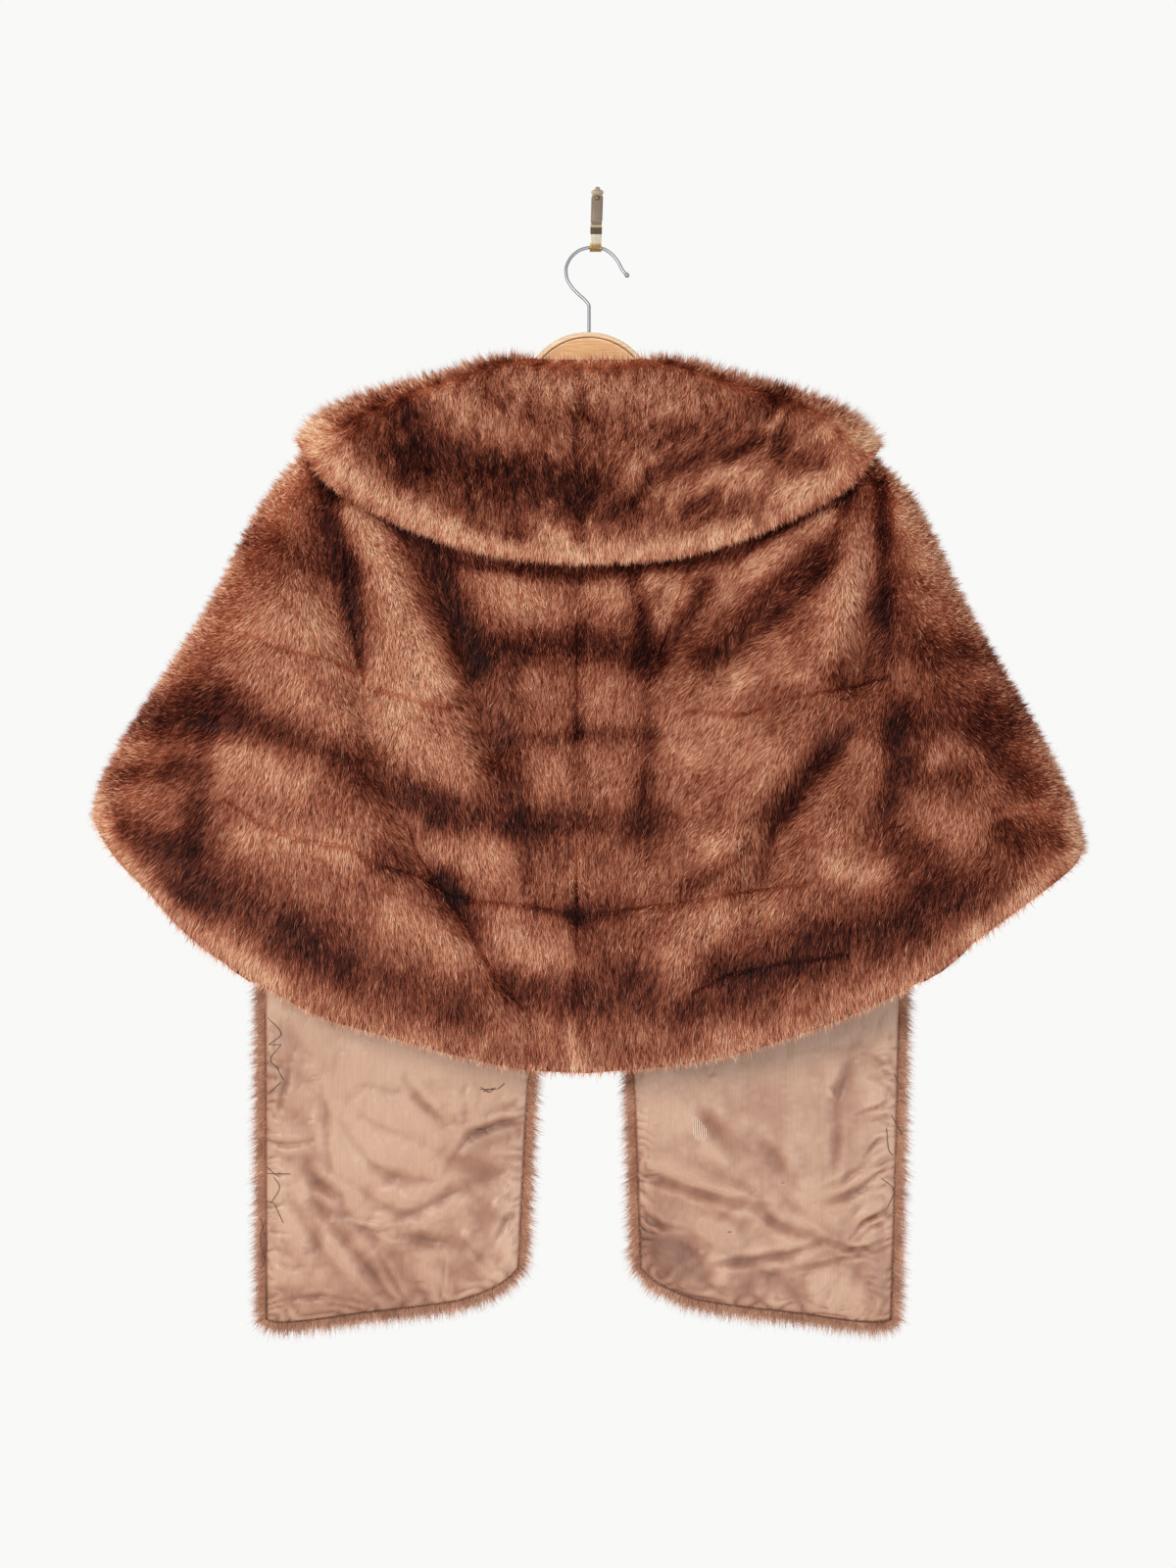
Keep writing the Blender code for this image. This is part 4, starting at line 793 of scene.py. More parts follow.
def hide_material(name, ramp):
    """Underwool on the hide: dense and matt, and painted darker than the hairs over it, as painted shade down
    in the nap. Its tone is the mesh's attribute, and its tufts are drawn about 2 mm apart, coarser than real
    ones, so that they show."""
    made, tree, shader = surface(name, Roughness=0.95, Specular_IOR_Level=0.1)
    tone = node(tree, "ShaderNodeAttribute", attribute_name="tone")
    place = node(tree, "ShaderNodeTexCoord")
    wool = node(tree, "ShaderNodeTexNoise",
                {"Vector": place.outputs["Object"], "Scale": 600.0, "Detail": 2.0})
    mixed = node(tree, "ShaderNodeMath", {0: wool.outputs["Fac"], 1: 0.35, 2: tone.outputs["Fac"]},
                 operation="MULTIPLY_ADD")
    shifted = node(tree, "ShaderNodeMath", {0: mixed.outputs[0], 1: 0.22}, operation="SUBTRACT")
    colour = node(tree, "ShaderNodeValToRGB", {"Fac": shifted.outputs[0]}, stops=ramp)
    # Painted shade: the underwool's colour is darkened for the shade down among the hairs
    darker = node(tree, "ShaderNodeMix", {0: 1.0, 6: colour.outputs[0], 7: "#b3988a"}, **MULTIPLY)
    bump = node(tree, "ShaderNodeBump", {"Height": wool.outputs["Fac"], "Strength": 0.6, "Distance": 0.001})
    tree.links.new(darker.outputs[2], shader.inputs["Base Color"])
    tree.links.new(bump.outputs[0], shader.inputs["Normal"])
    return made


def satin_material():
    """Satin of silk-like filament: its highlights are broad along the folds, and its warp shows as fine
    lines, drawn about 0.7 mm apart, coarser than real threads, so that they show. The mesh's attribute is
    painted light
    and shade: it tells lit crests from shaded hollows and holds broad lighter and darker places. The cloth is
    a little soiled and has small sharp wrinkles."""
    made, tree, shader = surface("satin_weave", Roughness=0.42, Specular_IOR_Level=0.45, Sheen_Weight=0.15,
                                 Sheen_Roughness=0.4, Sheen_Tint="#f0d8c6", Anisotropic=0.5)
    painted_shading = node(tree, "ShaderNodeAttribute", attribute_name="painted_shading")
    scaled = node(tree, "ShaderNodeMapRange",
                  {"Value": painted_shading.outputs["Fac"], "From Min": -3.4, "From Max": 2.4})
    place = node(tree, "ShaderNodeTexCoord")
    warp_place = node(tree, "ShaderNodeMapping",
                      {"Vector": place.outputs["Object"], "Scale": (1500, 1500, 14)})
    warp = node(tree, "ShaderNodeTexNoise", {"Vector": warp_place.outputs[0], "Scale": 1.0, "Detail": 2.0})
    soil = node(tree, "ShaderNodeTexNoise", {"Vector": place.outputs["Object"], "Scale": 9.0, "Detail": 3.0})
    colour = node(tree, "ShaderNodeValToRGB", {"Fac": scaled.outputs[0]},
                  stops=((0, "#583526"), (.35, "#8c634f"), (.6, "#a57c66"), (1, "#c7a48c")))
    lines = node(tree, "ShaderNodeValToRGB", {"Fac": warp.outputs["Fac"]},
                 stops=((.3, "#e6ddd8"), (.7, "#ffffff")))
    lined = node(tree, "ShaderNodeMix", {0: .6, 6: colour.outputs[0], 7: lines.outputs[0]}, **MULTIPLY)
    cloud = node(tree, "ShaderNodeValToRGB", {"Fac": soil.outputs["Fac"]},
                 stops=((.3, "#e8dcd4"), (.7, "#ffffff")))
    soiled = node(tree, "ShaderNodeMix", {0: .7, 6: lined.outputs[2], 7: cloud.outputs[0]}, **MULTIPLY)
    bump = node(tree, "ShaderNodeBump", {"Height": warp.outputs["Fac"], "Strength": 0.15, "Distance": 0.0002})
    # Small sharp wrinkles: valleys where a stretched noise crosses its middle. The valleys are bumped and
    # also painted a little darker, as painted shade.
    drawn = node(tree, "ShaderNodeMapping", {"Vector": place.outputs["Object"], "Scale": (1, 1, .6),
                                             "Rotation": (0, math.radians(35), 0)})
    crumple = node(tree, "ShaderNodeTexNoise", {"Vector": drawn.outputs[0], "Scale": 26.0, "Detail": 2.5,
                                                "Roughness": 0.5, "Distortion": 1.0})
    off = node(tree, "ShaderNodeMath", {0: crumple.outputs["Fac"], 1: 0.5}, operation="SUBTRACT")
    away = node(tree, "ShaderNodeMath", {0: off.outputs[0]}, operation="ABSOLUTE")
    valley = node(tree, "ShaderNodeValToRGB", {"Fac": away.outputs[0]},
                  stops=((0, "#000000"), (.015, "#7a7a7a"), (.05, "#d8d8d8"), (.14, "#ffffff")))
    wrinkled = node(tree, "ShaderNodeBump", {"Height": valley.outputs[0], "Strength": 0.26,
                                             "Distance": 0.0012, "Normal": bump.outputs[0]})
    shaded = node(tree, "ShaderNodeMix", {0: .04, 6: soiled.outputs[2], 7: valley.outputs[0]}, **MULTIPLY)
    tree.links.new(shaded.outputs[2], shader.inputs["Base Color"])
    tree.links.new(wrinkled.outputs[0], shader.inputs["Normal"])
    return made


def thread_material(name, colour):
    """Cotton thread: matt, with a twist too fine to see."""
    return surface(name, Roughness=0.85, Base_Color=colour)[0]


def beech_material():
    """Beech under clear varnish: short grain about 1 mm apart, coarser than the real one so that it shows, a
    pale rounded edge and a dark groove, which follow the mesh's attribute of how far in a point is."""
    made, tree, shader = surface("beech_varnished", Roughness=0.38, Specular_IOR_Level=0.5, Coat_Weight=0.35,
                                 Coat_Roughness=0.12)
    inset = node(tree, "ShaderNodeAttribute", attribute_name="inset")
    depth = node(tree, "ShaderNodeMath", {0: inset.outputs["Fac"], 1: FAR_INSET}, operation="DIVIDE")
    base = node(tree, "ShaderNodeValToRGB", {"Fac": depth.outputs[0]},
                stops=((0, "#f3e2ca"), (.42, "#ecd0ac"), (.52, "#b3835a"), (.60, "#9a6b42"),
                       (.66, "#f8e6c8"), (.72, "#dfb281"), (1, "#dcac7a")))
    place = node(tree, "ShaderNodeTexCoord")
    grain_place = node(tree, "ShaderNodeMapping",
                       {"Vector": place.outputs["Object"], "Scale": (60, 200, 900)})
    grain = node(tree, "ShaderNodeTexNoise", {"Vector": grain_place.outputs[0], "Scale": 1.0, "Detail": 4.0})
    tint = node(tree, "ShaderNodeValToRGB", {"Fac": grain.outputs["Fac"]},
                stops=((.3, "#cfae88"), (.65, "#ffffff")))
    grained = node(tree, "ShaderNodeMix", {0: .6, 6: base.outputs[0], 7: tint.outputs[0]}, **MULTIPLY)
    tree.links.new(grained.outputs[2], shader.inputs["Base Color"])
    return made


def wire_material():
    """Zinc-plated steel wire: bright, with slightly soft reflections."""
    return surface("zinc_plated_wire", Roughness=0.45, Metallic=1.0, Base_Color="#a6a8ac")[0]


def brass_material():
    """Worn brass strip: its upright plate is dulled and brushed, with marks drawn 0.4 mm apart so that they
    show. Its slope, its lip and its leaves are painted bright, as painted highlights, and the strip behind
    the wire is painted darker, as painted shade."""
    made, tree, shader = surface("brass_worn", Metallic=.8, Anisotropic=0.4)
    place = node(tree, "ShaderNodeTexCoord")
    split = node(tree, "ShaderNodeSeparateXYZ", {0: place.outputs["Object"]})
    height = node(tree, "ShaderNodeMapRange",
                  {"Value": split.outputs["Z"], "From Min": -.042, "From Max": .022})
    # Painted highlights across the slope and the leaves, and painted shade down the strip behind the wire
    plate = node(tree, "ShaderNodeValToRGB", {"Fac": height.outputs[0]},
                 stops=((0, "#55493c"), (.36, "#7d6c5a"), (.38, "#ffe9c4"), (.49, "#fff0d2"),
                        (.52, "#83766a"), (.84, "#7e7164"), (.94, "#b5a68f"), (1, "#8f806c")))
    # Painted highlight along the lip
    lip = node(tree, "ShaderNodeValToRGB", {"Fac": height.outputs[0]},
               stops=((0, "#b08c56"), (.09, "#c8a66c"), (.13, "#fff3d8"), (.25, "#fff8e8"), (.3, "#e8d0a0")))
    forward = node(tree, "ShaderNodeMapRange",
                   {"Value": split.outputs["Y"], "From Min": -.0185, "From Max": -.0175})
    tone = node(tree, "ShaderNodeMix", {0: forward.outputs[0], 6: lip.outputs[0], 7: plate.outputs[0]},
                data_type="RGBA")
    brush_place = node(tree, "ShaderNodeMapping",
                       {"Vector": place.outputs["Object"], "Scale": (2500, 2500, 60)})
    brush = node(tree, "ShaderNodeTexNoise", {"Vector": brush_place.outputs[0], "Scale": 1.0, "Detail": 2.0})
    rough = node(tree, "ShaderNodeMapRange", {"Value": height.outputs[0], "From Min": .45, "From Max": .53,
                                              "To Min": .18, "To Max": .45})
    dull = node(tree, "ShaderNodeValToRGB", {"Fac": brush.outputs["Fac"]},
                stops=((.35, "#b5aca3"), (.65, "#ffffff")))
    brushed = node(tree, "ShaderNodeMix", {0: .7, 6: tone.outputs[2], 7: dull.outputs[0]}, **MULTIPLY)
    tree.links.new(brushed.outputs[2], shader.inputs["Base Color"])
    tree.links.new(rough.outputs[0], shader.inputs["Roughness"])
    return made


# ---------------------------------------------------------------- nap
def upright(points):
    """Each point's place seen from the front: w from the garment's middle, and z."""
    return points[..., 0] - CENTRE_X, points[..., 2]


def cell_areas(points):
    """Area of each cell of a grid of points, as the cross product of two of its edges."""
    across = points[1:, :-1, :3] - points[:-1, :-1, :3]
    down = points[:-1, 1:, :3] - points[:-1, :-1, :3]
    return np.linalg.norm(np.cross(across, down), axis=-1)


def grown_areas(channels, share):
    """Area of each cell times the share of hairs that it grows, which is the mean of two of its corners'."""
    area = cell_areas(channels)
    return area if share is None else area * (share[1:, 1:] + share[:-1, :-1]) / 2


def hairs(channels, density, share=None):
    return int(grown_areas(channels, share).sum() * density / (1))


def spread_over(channels, count, rng, share=None):
    """Random spots on a grid of channels, whose first three are points: evenly by area, times each cell's
    share. Every channel is the mean of its cell's corners, weighted by how near the spot is to each."""
    area = grown_areas(channels, share)
    total = np.cumsum(area.ravel())
    cell = np.searchsorted(total, (np.arange(count) + rng.random(count)) / count * total[-1])
    i, j = np.divmod(np.minimum(cell, total.size - 1), area.shape[1])
    s, t = rng.random((2, count, 1))
    return ((channels[i, j] * (1 - s) + channels[i + 1, j] * s) * (1 - t)
            + (channels[i, j + 1] * (1 - s) + channels[i + 1, j + 1] * s) * t)


def grow(name, spots, way, lift, length, tone, material, rng, front=0.0, fringe=0.0, parted=None,
         locks=FRINGE_LOCKS, breadth=1.0):
    """Nap of tapered hairs, each one triangle: its foot is as wide as the hair, and its tip lies along
    cos(lift) times its way plus sin(lift) times the skin's normal, so a lift past a right angle lays it back.
    Lengths and lies vary, tips are drawn together into locks by smooth noise, and guard hairs stand out, more
    of them on a fringe. A hair that would lie over a parting ends at it. Each hair turns its face to the side
    that the nap is seen from, -Y where front is -1, and shading normals lean to the skin's, so that the nap
    shades as one soft surface."""
    point, normal = spots[:, :3], spots[:, 3:6]
    count = len(point)
    fringe = np.broadcast_to(fringe, count)
    guard = rng.random(count) < GUARD_SHARE + FRINGE_GUARDS * fringe
    fringe = np.minimum(fringe, 1)
    length = length * np.clip(1 + .2 * rng.standard_normal(count), .5, 1.5)
    length = length * np.where(guard, GUARD_LENGTH, 1) * (1 - .3 * fringe)
    lift = (np.radians(lift) + math.radians(LIFT_SPREAD) * rng.standard_normal(count))[:, None]
    turn = (math.radians(TURN_SPREAD) * rng.standard_normal(count))[:, None]
    way = unit(way - normal * np.sum(way * normal, axis=1, keepdims=True))
    way = np.cos(turn) * way + np.sin(turn) * np.cross(normal, way)
    along = np.cos(lift) * way + np.sin(lift) * normal
    lock = np.stack([mottle(31, LOCK_SIZE, point[:, 0], point[:, 2]), 0 * length,
                     mottle(32, LOCK_SIZE, point[:, 0], point[:, 2])], axis=-1)
    along = unit(along + LOCK_LEAN * lock * (1 + locks * fringe[:, None]))
    if parted is not None:
        reach = np.ones(count)
        for share in (1, .85, .7, .55, .4, .2, 0):
            at = point + along * (length * share)[:, None]
            reach = np.where(parted(*upright(at)) > .5, share, reach)
        length = length * np.maximum(reach, .3)
    side = unit(np.cross(along, normal))
    roll = rng.uniform(-1.2, 1.2, (count, 1))
    side = np.cos(roll) * side + np.sin(roll) * np.cross(side, along)
    towards = normal + .9 * front * np.array([0, 1, 0])
    facing = np.cross(side, along)
    turned = np.where(np.sum(facing * towards, axis=1, keepdims=True) < 0, -1, 1)
    side, facing = side * turned, facing * turned
    half = side * breadth * HAIR_WIDTH / 2 * np.clip(1 + .25 * rng.standard_normal((count, 1)), .4, 1.8)
    half = np.where(guard, .75 + .35 * fringe, 1)[:, None] * half
    tip = point + along * length[:, None]
    made = add(name, np.stack([point - half, point + half, tip], axis=1), np.arange(3 * count).reshape(-1, 3),
               material)
    # Each hair's own tone varies at random; hairs on a fringe or at a rim's edge are also painted lighter, as
    # painted light shining through them from behind
    own = (.15 + .06 * fringe) * rng.standard_normal(count) + .10 * fringe
    foot_tone, tip_tone = (np.clip(tone(*upright(at)) + own, .01, .99) for at in (point, tip))
    place = np.zeros((count, 3, 2), np.float32)
    place[:, 0, 0], place[:, 1, 0], place[:, 2, 0] = foot_tone - .004, foot_tone + .004, tip_tone
    place[:, 2, 1] = np.where(guard, 1, .72)
    made.data.uv_layers.new(name="OFBake").data.foreach_set("uv", place.ravel())
    soft = np.repeat(unit(.6 * normal + .2 * unit(towards) + .45 * facing), 3, axis=0)
    made.data.normals_split_custom_set_from_vertices(soft.tolist())
    return made


def softened(change):
    """Change of tone held within its usual range: a sum of strokes never goes past the darkest pelt."""
    return np.where(change < 0, .40 * np.tanh(change / .40), .44 * np.tanh(1.15 * change / .44))


def combed(angle):
    """Lies on an upright skin at an angle from straight down."""
    return np.stack([np.sin(angle), 0 * angle, -np.cos(angle)], axis=-1)


def sheet_channels(sheet, side, u, v, offset):
    """Points at an offset from the sheet's middle, with normals, unit steps down the sheet, u and v."""
    centre, normal = middle(sheet, side, u, v), outward(sheet, side, u, v)
    step = 2e-3
    down = middle(sheet, side, u, np.minimum(v + step, 1)) - middle(sheet, side, u, np.maximum(v - step, 0))
    return np.concatenate([centre + offset * normal, normal, unit(down), u[..., None], v[..., None]], axis=-1)


def collar_hem():
    """Line (w, z) of the collar's lower edge, from its left tip to its right tip."""
    u, v = np.linspace(1, 0, 24), np.ones(24)
    left = middle(COLLAR, "left", u, v)
    right = middle(COLLAR, "right", u[:-1], v[:-1])[::-1]
    return np.column_stack(upright(np.vstack([left, right])))


COLLAR_HEM = collar_hem()


def parting(w, z):
    """How far the nap is parted at a point: up to 1 on a line of the table, with a bell across it."""
    return np.minimum(strokes(PARTINGS, w, z), 1)


def back_tone(w, z):
    """Tone of the back's nap: the table's strokes, which hold painted shade and painted highlights as well as
    the pelts' own tones, with a painted shadow under the collar's hem, painted shade in the partings, dark
    flecks on the crests and smooth noise of several sizes."""
    # Painted shadow under the collar's hem and painted shade in the partings; the crests' flecks are the
    # hairs' own dark tips
    painted_collar_shadow = np.exp(-(distance_to(COLLAR_HEM, w, z) / 5) ** 2)
    flecks = ease(1.0, 1.7, mottle(51, 5, w, .4 * z)) * np.minimum(strokes(CRESTS, w, z), 1)
    tone_and_shade = .50 + softened(.97 * strokes(BACK_TONES_AND_SHADE, w, z))
    return (tone_and_shade - .18 * painted_collar_shadow - .16 * parting(w, z) - .4 * flecks
            + .03 * mottle(11, 70, w, z) + .03 * mottle(12, 25, w, z) + .025 * mottle(13, 9, w, z)
            + .025 * mottle(52, 7, w, .4 * z))


def collar_tone(w, z):
    """Tone of the collar's nap: its table's strokes, which hold painted shade and painted highlights as well
    as the pelts' own tones, with smooth noise of several sizes.
    """
    tone_and_shade = .48 + softened(.95 * strokes(COLLAR_TONES_AND_SHADE, w, z))
    return (tone_and_shade + .03 * mottle(14, 60, w, z) + .05 * mottle(15, 20, w, z)
            + .045 * mottle(16, 8, w, z) + .04 * mottle(53, 7, w, .4 * z))


def wall_tone(w, z):
    """Let-out stripes of the pelts on the wall side: a dark grotzen down the middle of each strip."""
    stripe = np.cos(math.tau * (w + 6 * mottle(17, 160, w, z)) / STRIP_OF_PELT)
    return (.5 + .15 * stripe + .06 * mottle(18, 60, w, z) + .07 * mottle(19, 22, w, z)
            + .05 * mottle(20, 9, w, z))


def rim_tone(w, z):
    """Tone of the stole ends' rims: even, with a little smooth noise."""
    return .51 + .06 * mottle(23, 30, w, z) + .04 * mottle(24, 9, w, z)


def declare(piece, node_name, extra=()):
    """Puts a sheet and its extra pieces on the body root and hides the node that it stands for."""
    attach(piece, "root")
    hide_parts(node_name)
    for other in extra:
        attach(other, "root")


def facing_out(side, *grids):
    """Grids with the right side's columns turned round, which keeps its faces outward."""
    return tuple(g[::-1] for g in grids) if side == "right" else grids


def build_hide(label, sheet, side, u, v, material, tone, reach, standing=0.0):
    """Hide under the nap: a thin wall between two distances from the sheet's middle. Where the hairs stand on
    end the underwool shows between them, so there it is fuller, and it is painted a little lighter, as
    painted light against the shade between the standing hairs."""
    centre, normal = facing_out(side, middle(sheet, side, u, v), outward(sheet, side, u, v))
    standing, = facing_out(side, standing + 0 * u)
    # Painted light: the hide is made lighter where the hairs stand, against the shade between them
    shade = tone(*upright(centre)) + .12 * standing
    outer = reach[1] + STANDING_WOOL * standing
    return wall(label, centre, normal, reach[0], outer, material, {"tone": shade}), centre


def build_back(side, fur, wool):
    """Back of the cape on one side of the centre back seam: three rows of pelts, split at the row seams.
    Hairs stand up more towards the side fold and on the crests, and few grow where the collar hides them."""
    edges = (0.0, *ROW_SEAMS, HIDE_END)
    for label, start, stop in zip(("upper", "middle", "lower"), edges[:-1], edges[1:]):
        u, v = grid(BODY, side, np.linspace(start, stop, BACK_ROWS), BACK_CELLS)
        name = f"back_{label}_{side}"
        hide, centre = build_hide(f"hide_{name}", BODY, side, u, v, wool, back_tone, HIDE_REACH,
                                  .5 * ease(.80, 1, u))
        rng = np.random.default_rng(100 + len(name) + 7 * (side == "left"))
        channels = sheet_channels(BODY, side, u, v, HIDE_REACH[1])
        shown = 1 - .8 * (1 - ease(.16, .24, v)) * (1 - ease(.5, .75, u))
        spots = spread_over(channels, hairs(channels, DENSITY, shown), rng, shown)
        down, out, low = spots[:, 6:9], spots[:, 9], spots[:, 10]
        w, z = upright(spots)
        over = ease(.93, 1, low)[:, None]
        way = combed(lie(FLOW, w, z)) * (1 - over) + down * over
        crest = strokes(CRESTS, w, z)
        lift = BACK_LIFT + BACK_FOLD_LIFT * ease(.78, 1, out) ** 1.5 + CREST_LIFT * crest
        fringe = np.maximum(ease(.93, 1, out), ease(.97, HIDE_END, low)) * 1.4 + .3 * crest
        nap = grow(f"nap_{name}", spots, way, lift, HAIR, back_tone, fur, rng, -1, fringe, parting)
        declare(hide, f"fur_{name}", [nap])


def build_side(side, fur, wool):
    """Part of the cape that turns round at the side fold and hangs on the wall side. Its tone and its lift
    blend from the back's, at the fold, to the wall side's."""
    u, v = grid(BODY, side, np.linspace(FRONT_TOP, SIDE_END, SIDE_ROWS), SIDE_CELLS, front=True)
    hide, centre = build_hide(f"hide_side_{side}", BODY, side, u, v, wool, wall_tone, HIDE_REACH)
    rng = np.random.default_rng(200 + (side == "left"))
    channels = sheet_channels(BODY, side, u, v, HIDE_REACH[1])
    thin = WALL_DENSITY / DENSITY
    shown = thin + (1 - thin) * (1 - ease(1.05, 1.2, u))
    spots = spread_over(channels, hairs(channels, DENSITY, shown), rng, shown)
    down, out, low = spots[:, 6:9], spots[:, 9], spots[:, 10]
    w, z = upright(spots)
    over = ease(.93, 1, low)[:, None]
    way = combed(.25 * mottle(21, 60, w, z)) * (1 - over) + down * over
    near = 1 - ease(1.0, 1.3, out)
    lift = SIDE_LIFT + SIDE_FOLD_LIFT * near ** 1.5

    def tone(w, z):
        return back_tone(w, z) * near + (wall_tone(w, z) + .12 * ease(.93, 1, low)) * (1 - near)

    nap = grow(f"nap_side_{side}", spots, way, lift, HAIR, tone, fur, rng, 1 - 2 * (near > .5)[:, None],
               1.6 * (1 - ease(1.02, 1.1, out)))
    declare(hide, f"fur_side_{side}", [nap])


def build_collar(side, fur, wool):
    """Collar over the back and its lapel down the front. Its nap stands up round the fold and at the neck,
    and lies flatter and shorter towards the hem."""
    for label, density, cells, front in (("collar", COLLAR_DENSITY, COLLAR_CELLS, False),
                                         ("lapel", WALL_DENSITY, LAPEL_CELLS, True)):
        start = FRONT_TOP if front else 0
        u, v = grid(COLLAR, side, np.linspace(start, COLLAR_END, COLLAR_ROWS), cells, front)
        rolled = np.maximum(1 - ease(0, .22, np.abs(1 - u)), 1 - ease(0, .12, v))
        hide, centre = build_hide(f"hide_{label}_{side}", COLLAR, side, u, v, wool, collar_tone,
                                  COLLAR_REACH, rolled)
        rng = np.random.default_rng(300 + len(label) + 7 * (side == "left"))
        channels = sheet_channels(COLLAR, side, u, v, COLLAR_REACH[1])
        spots = spread_over(channels, hairs(channels, density), rng)
        down, out, low = spots[:, 6:9], spots[:, 9], spots[:, 10]
        w, z = upright(spots)
        over = ease(.88, 1, low)
        level = combed(lie(COLLAR_FLOW, w, z) * (.3 if front else 1))
        way = level * (1 - over[:, None]) + down * over[:, None]
        near = 1 - ease(0, .15, np.abs(1 - out))
        neck = 1 - ease(0, .08, low)
        fold_lift = np.where(out < 1, COLLAR_FOLD_LIFT, LAPEL_FOLD_LIFT) * near
        lift = COLLAR_LIFT + np.maximum(fold_lift, NECK_LIFT * neck) - COLLAR_HEM_DROP * over
        blend = 1 - ease(1.0, 1.3, out)

        def tone(w, z):
            return collar_tone(w, z) * blend + wall_tone(w, z) * (1 - blend)

        length = COLLAR_HAIR * (1 - .3 * over) * (1 + .18 * np.maximum(near, neck))
        length = length * (1 - .3 * (out > 1.3) * neck)
        nap = grow(f"nap_{label}_{side}", spots, way, lift, length, tone, fur, rng,
                   1 - 2 * (out < 1.15)[:, None], 1.5 * np.maximum(ease(.5, 1, near), ease(.6, 1, neck)))
        declare(hide, f"fur_{label}_{side}", [nap])


def hem_share(side, across, rim):
    """Share of the way along a stole end's whole hem, at shares across what its rim leaves of it."""
    width = PANELS[side][3] - PANELS[side][2]
    return (rim + (width - 2 * rim) * across) / width


def stole_edges(side, down, rim):
    """Inner and outer edge w of a stole end at shares down it, both drawn in by its rim."""
    inner_top, outer_top, inner_bottom, outer_bottom = PANELS[side]
    inner = inner_top + (inner_bottom - inner_top) * down + rim
    outer = outer_top + (outer_bottom - outer_top) * down - rim
    return inner, outer


def stole_bow(z):
    """Depth of a stole end's middle at a height, bowed by a half sine, and how that depth changes with z."""
    length = PANEL_TOP - SEAM - PANEL_HEM[-1][1]
    below = (PANEL_TOP - SEAM - z) / length
    return (BODY_DEPTH[-1][3] - PANEL_BOW * np.sin(math.pi * below),
            -PANEL_BOW * math.pi / length * np.cos(math.pi * below))


def stole(side, across, down, rim):
    """Middle of a stole end and its normals, towards the wall: an upright strip, narrowing a little and
    bowed, with its bottom edge from the table. A rim draws its edges in by that much, but not its top."""
    sign = -1 if side == "left" else 1
    across, down = np.asarray(across)[:, None], np.asarray(down)[None, :]
    inner, outer = stole_edges(side, down, rim)
    top = PANEL_TOP - SEAM
    z = top + (curve(PANEL_HEM, hem_share(side, across, rim))[..., 0] + rim - top) * down
    y, slope = stole_bow(z)
    centre = np.stack([CENTRE_X + sign * (inner + (outer - inner) * across), y, z], axis=-1)
    normal = unit(np.stack([0 * z, np.ones_like(z), slope], axis=-1))
    return (centre[::-1], normal[::-1]) if side == "left" else (centre, normal)


def stole_border(side, rim):
    """Line (w, z) down a stole end's inner edge, along its hem and up its outer edge, w signed."""
    share = np.concatenate([np.zeros(11), np.linspace(0, 1, 40) ** 1.6, np.ones(11)])
    sign = -1 if side == "left" else 1
    down = np.concatenate([np.linspace(0, 1, 12)[:-1], np.ones(40), np.linspace(1, 0, 12)[1:]])
    inner, outer = stole_edges(side, down, rim)
    bottom = curve(PANEL_HEM, hem_share(side, share, rim))[:, 0] + rim
    z = PANEL_TOP + (bottom - PANEL_TOP) * down
    return np.column_stack([sign * (inner + (outer - inner) * share), z])


def satin_relief(side, w, z, inside):
    """How far the satin stands out from its edge: it puffs up within its seam, folds, puckers along the seam
    and is crumpled, in flat facets that meet in fine valleys where smooth noise crosses nought. Also how much
    light its folds catch: as they stand out, and more so for the sharp puckers."""
    crumple = (.55 * np.abs(mottle(40, 70, w + .4 * z, z)) + .30 * np.abs(mottle(41, 30, w, z - .3 * w))
               + .16 * np.abs(mottle(42, 13, w, z + .2 * w)))
    depth = 22 + 8 * mottle(29, 24, w, z)
    puckers = (1.3 * np.abs(np.sin(math.pi * (w * .3 + z) / 11 + 1.6 * mottle(27, 34, w, z))) ** .6
               * (1 - ease(3, depth, inside)) * ease(0, 2, inside))
    folds = 1.35 * creased_satin(SATIN_WRINKLES[side], w, z) + crumple
    relief = PUFF * ease(0, 16, inside) + folds * ease(1, 9, inside) + puckers
    caught = folds * ease(1, 9, inside) + .6 * crumple + 2.6 * (puckers - .75 * (1 - ease(3, depth, inside)))
    return relief, caught


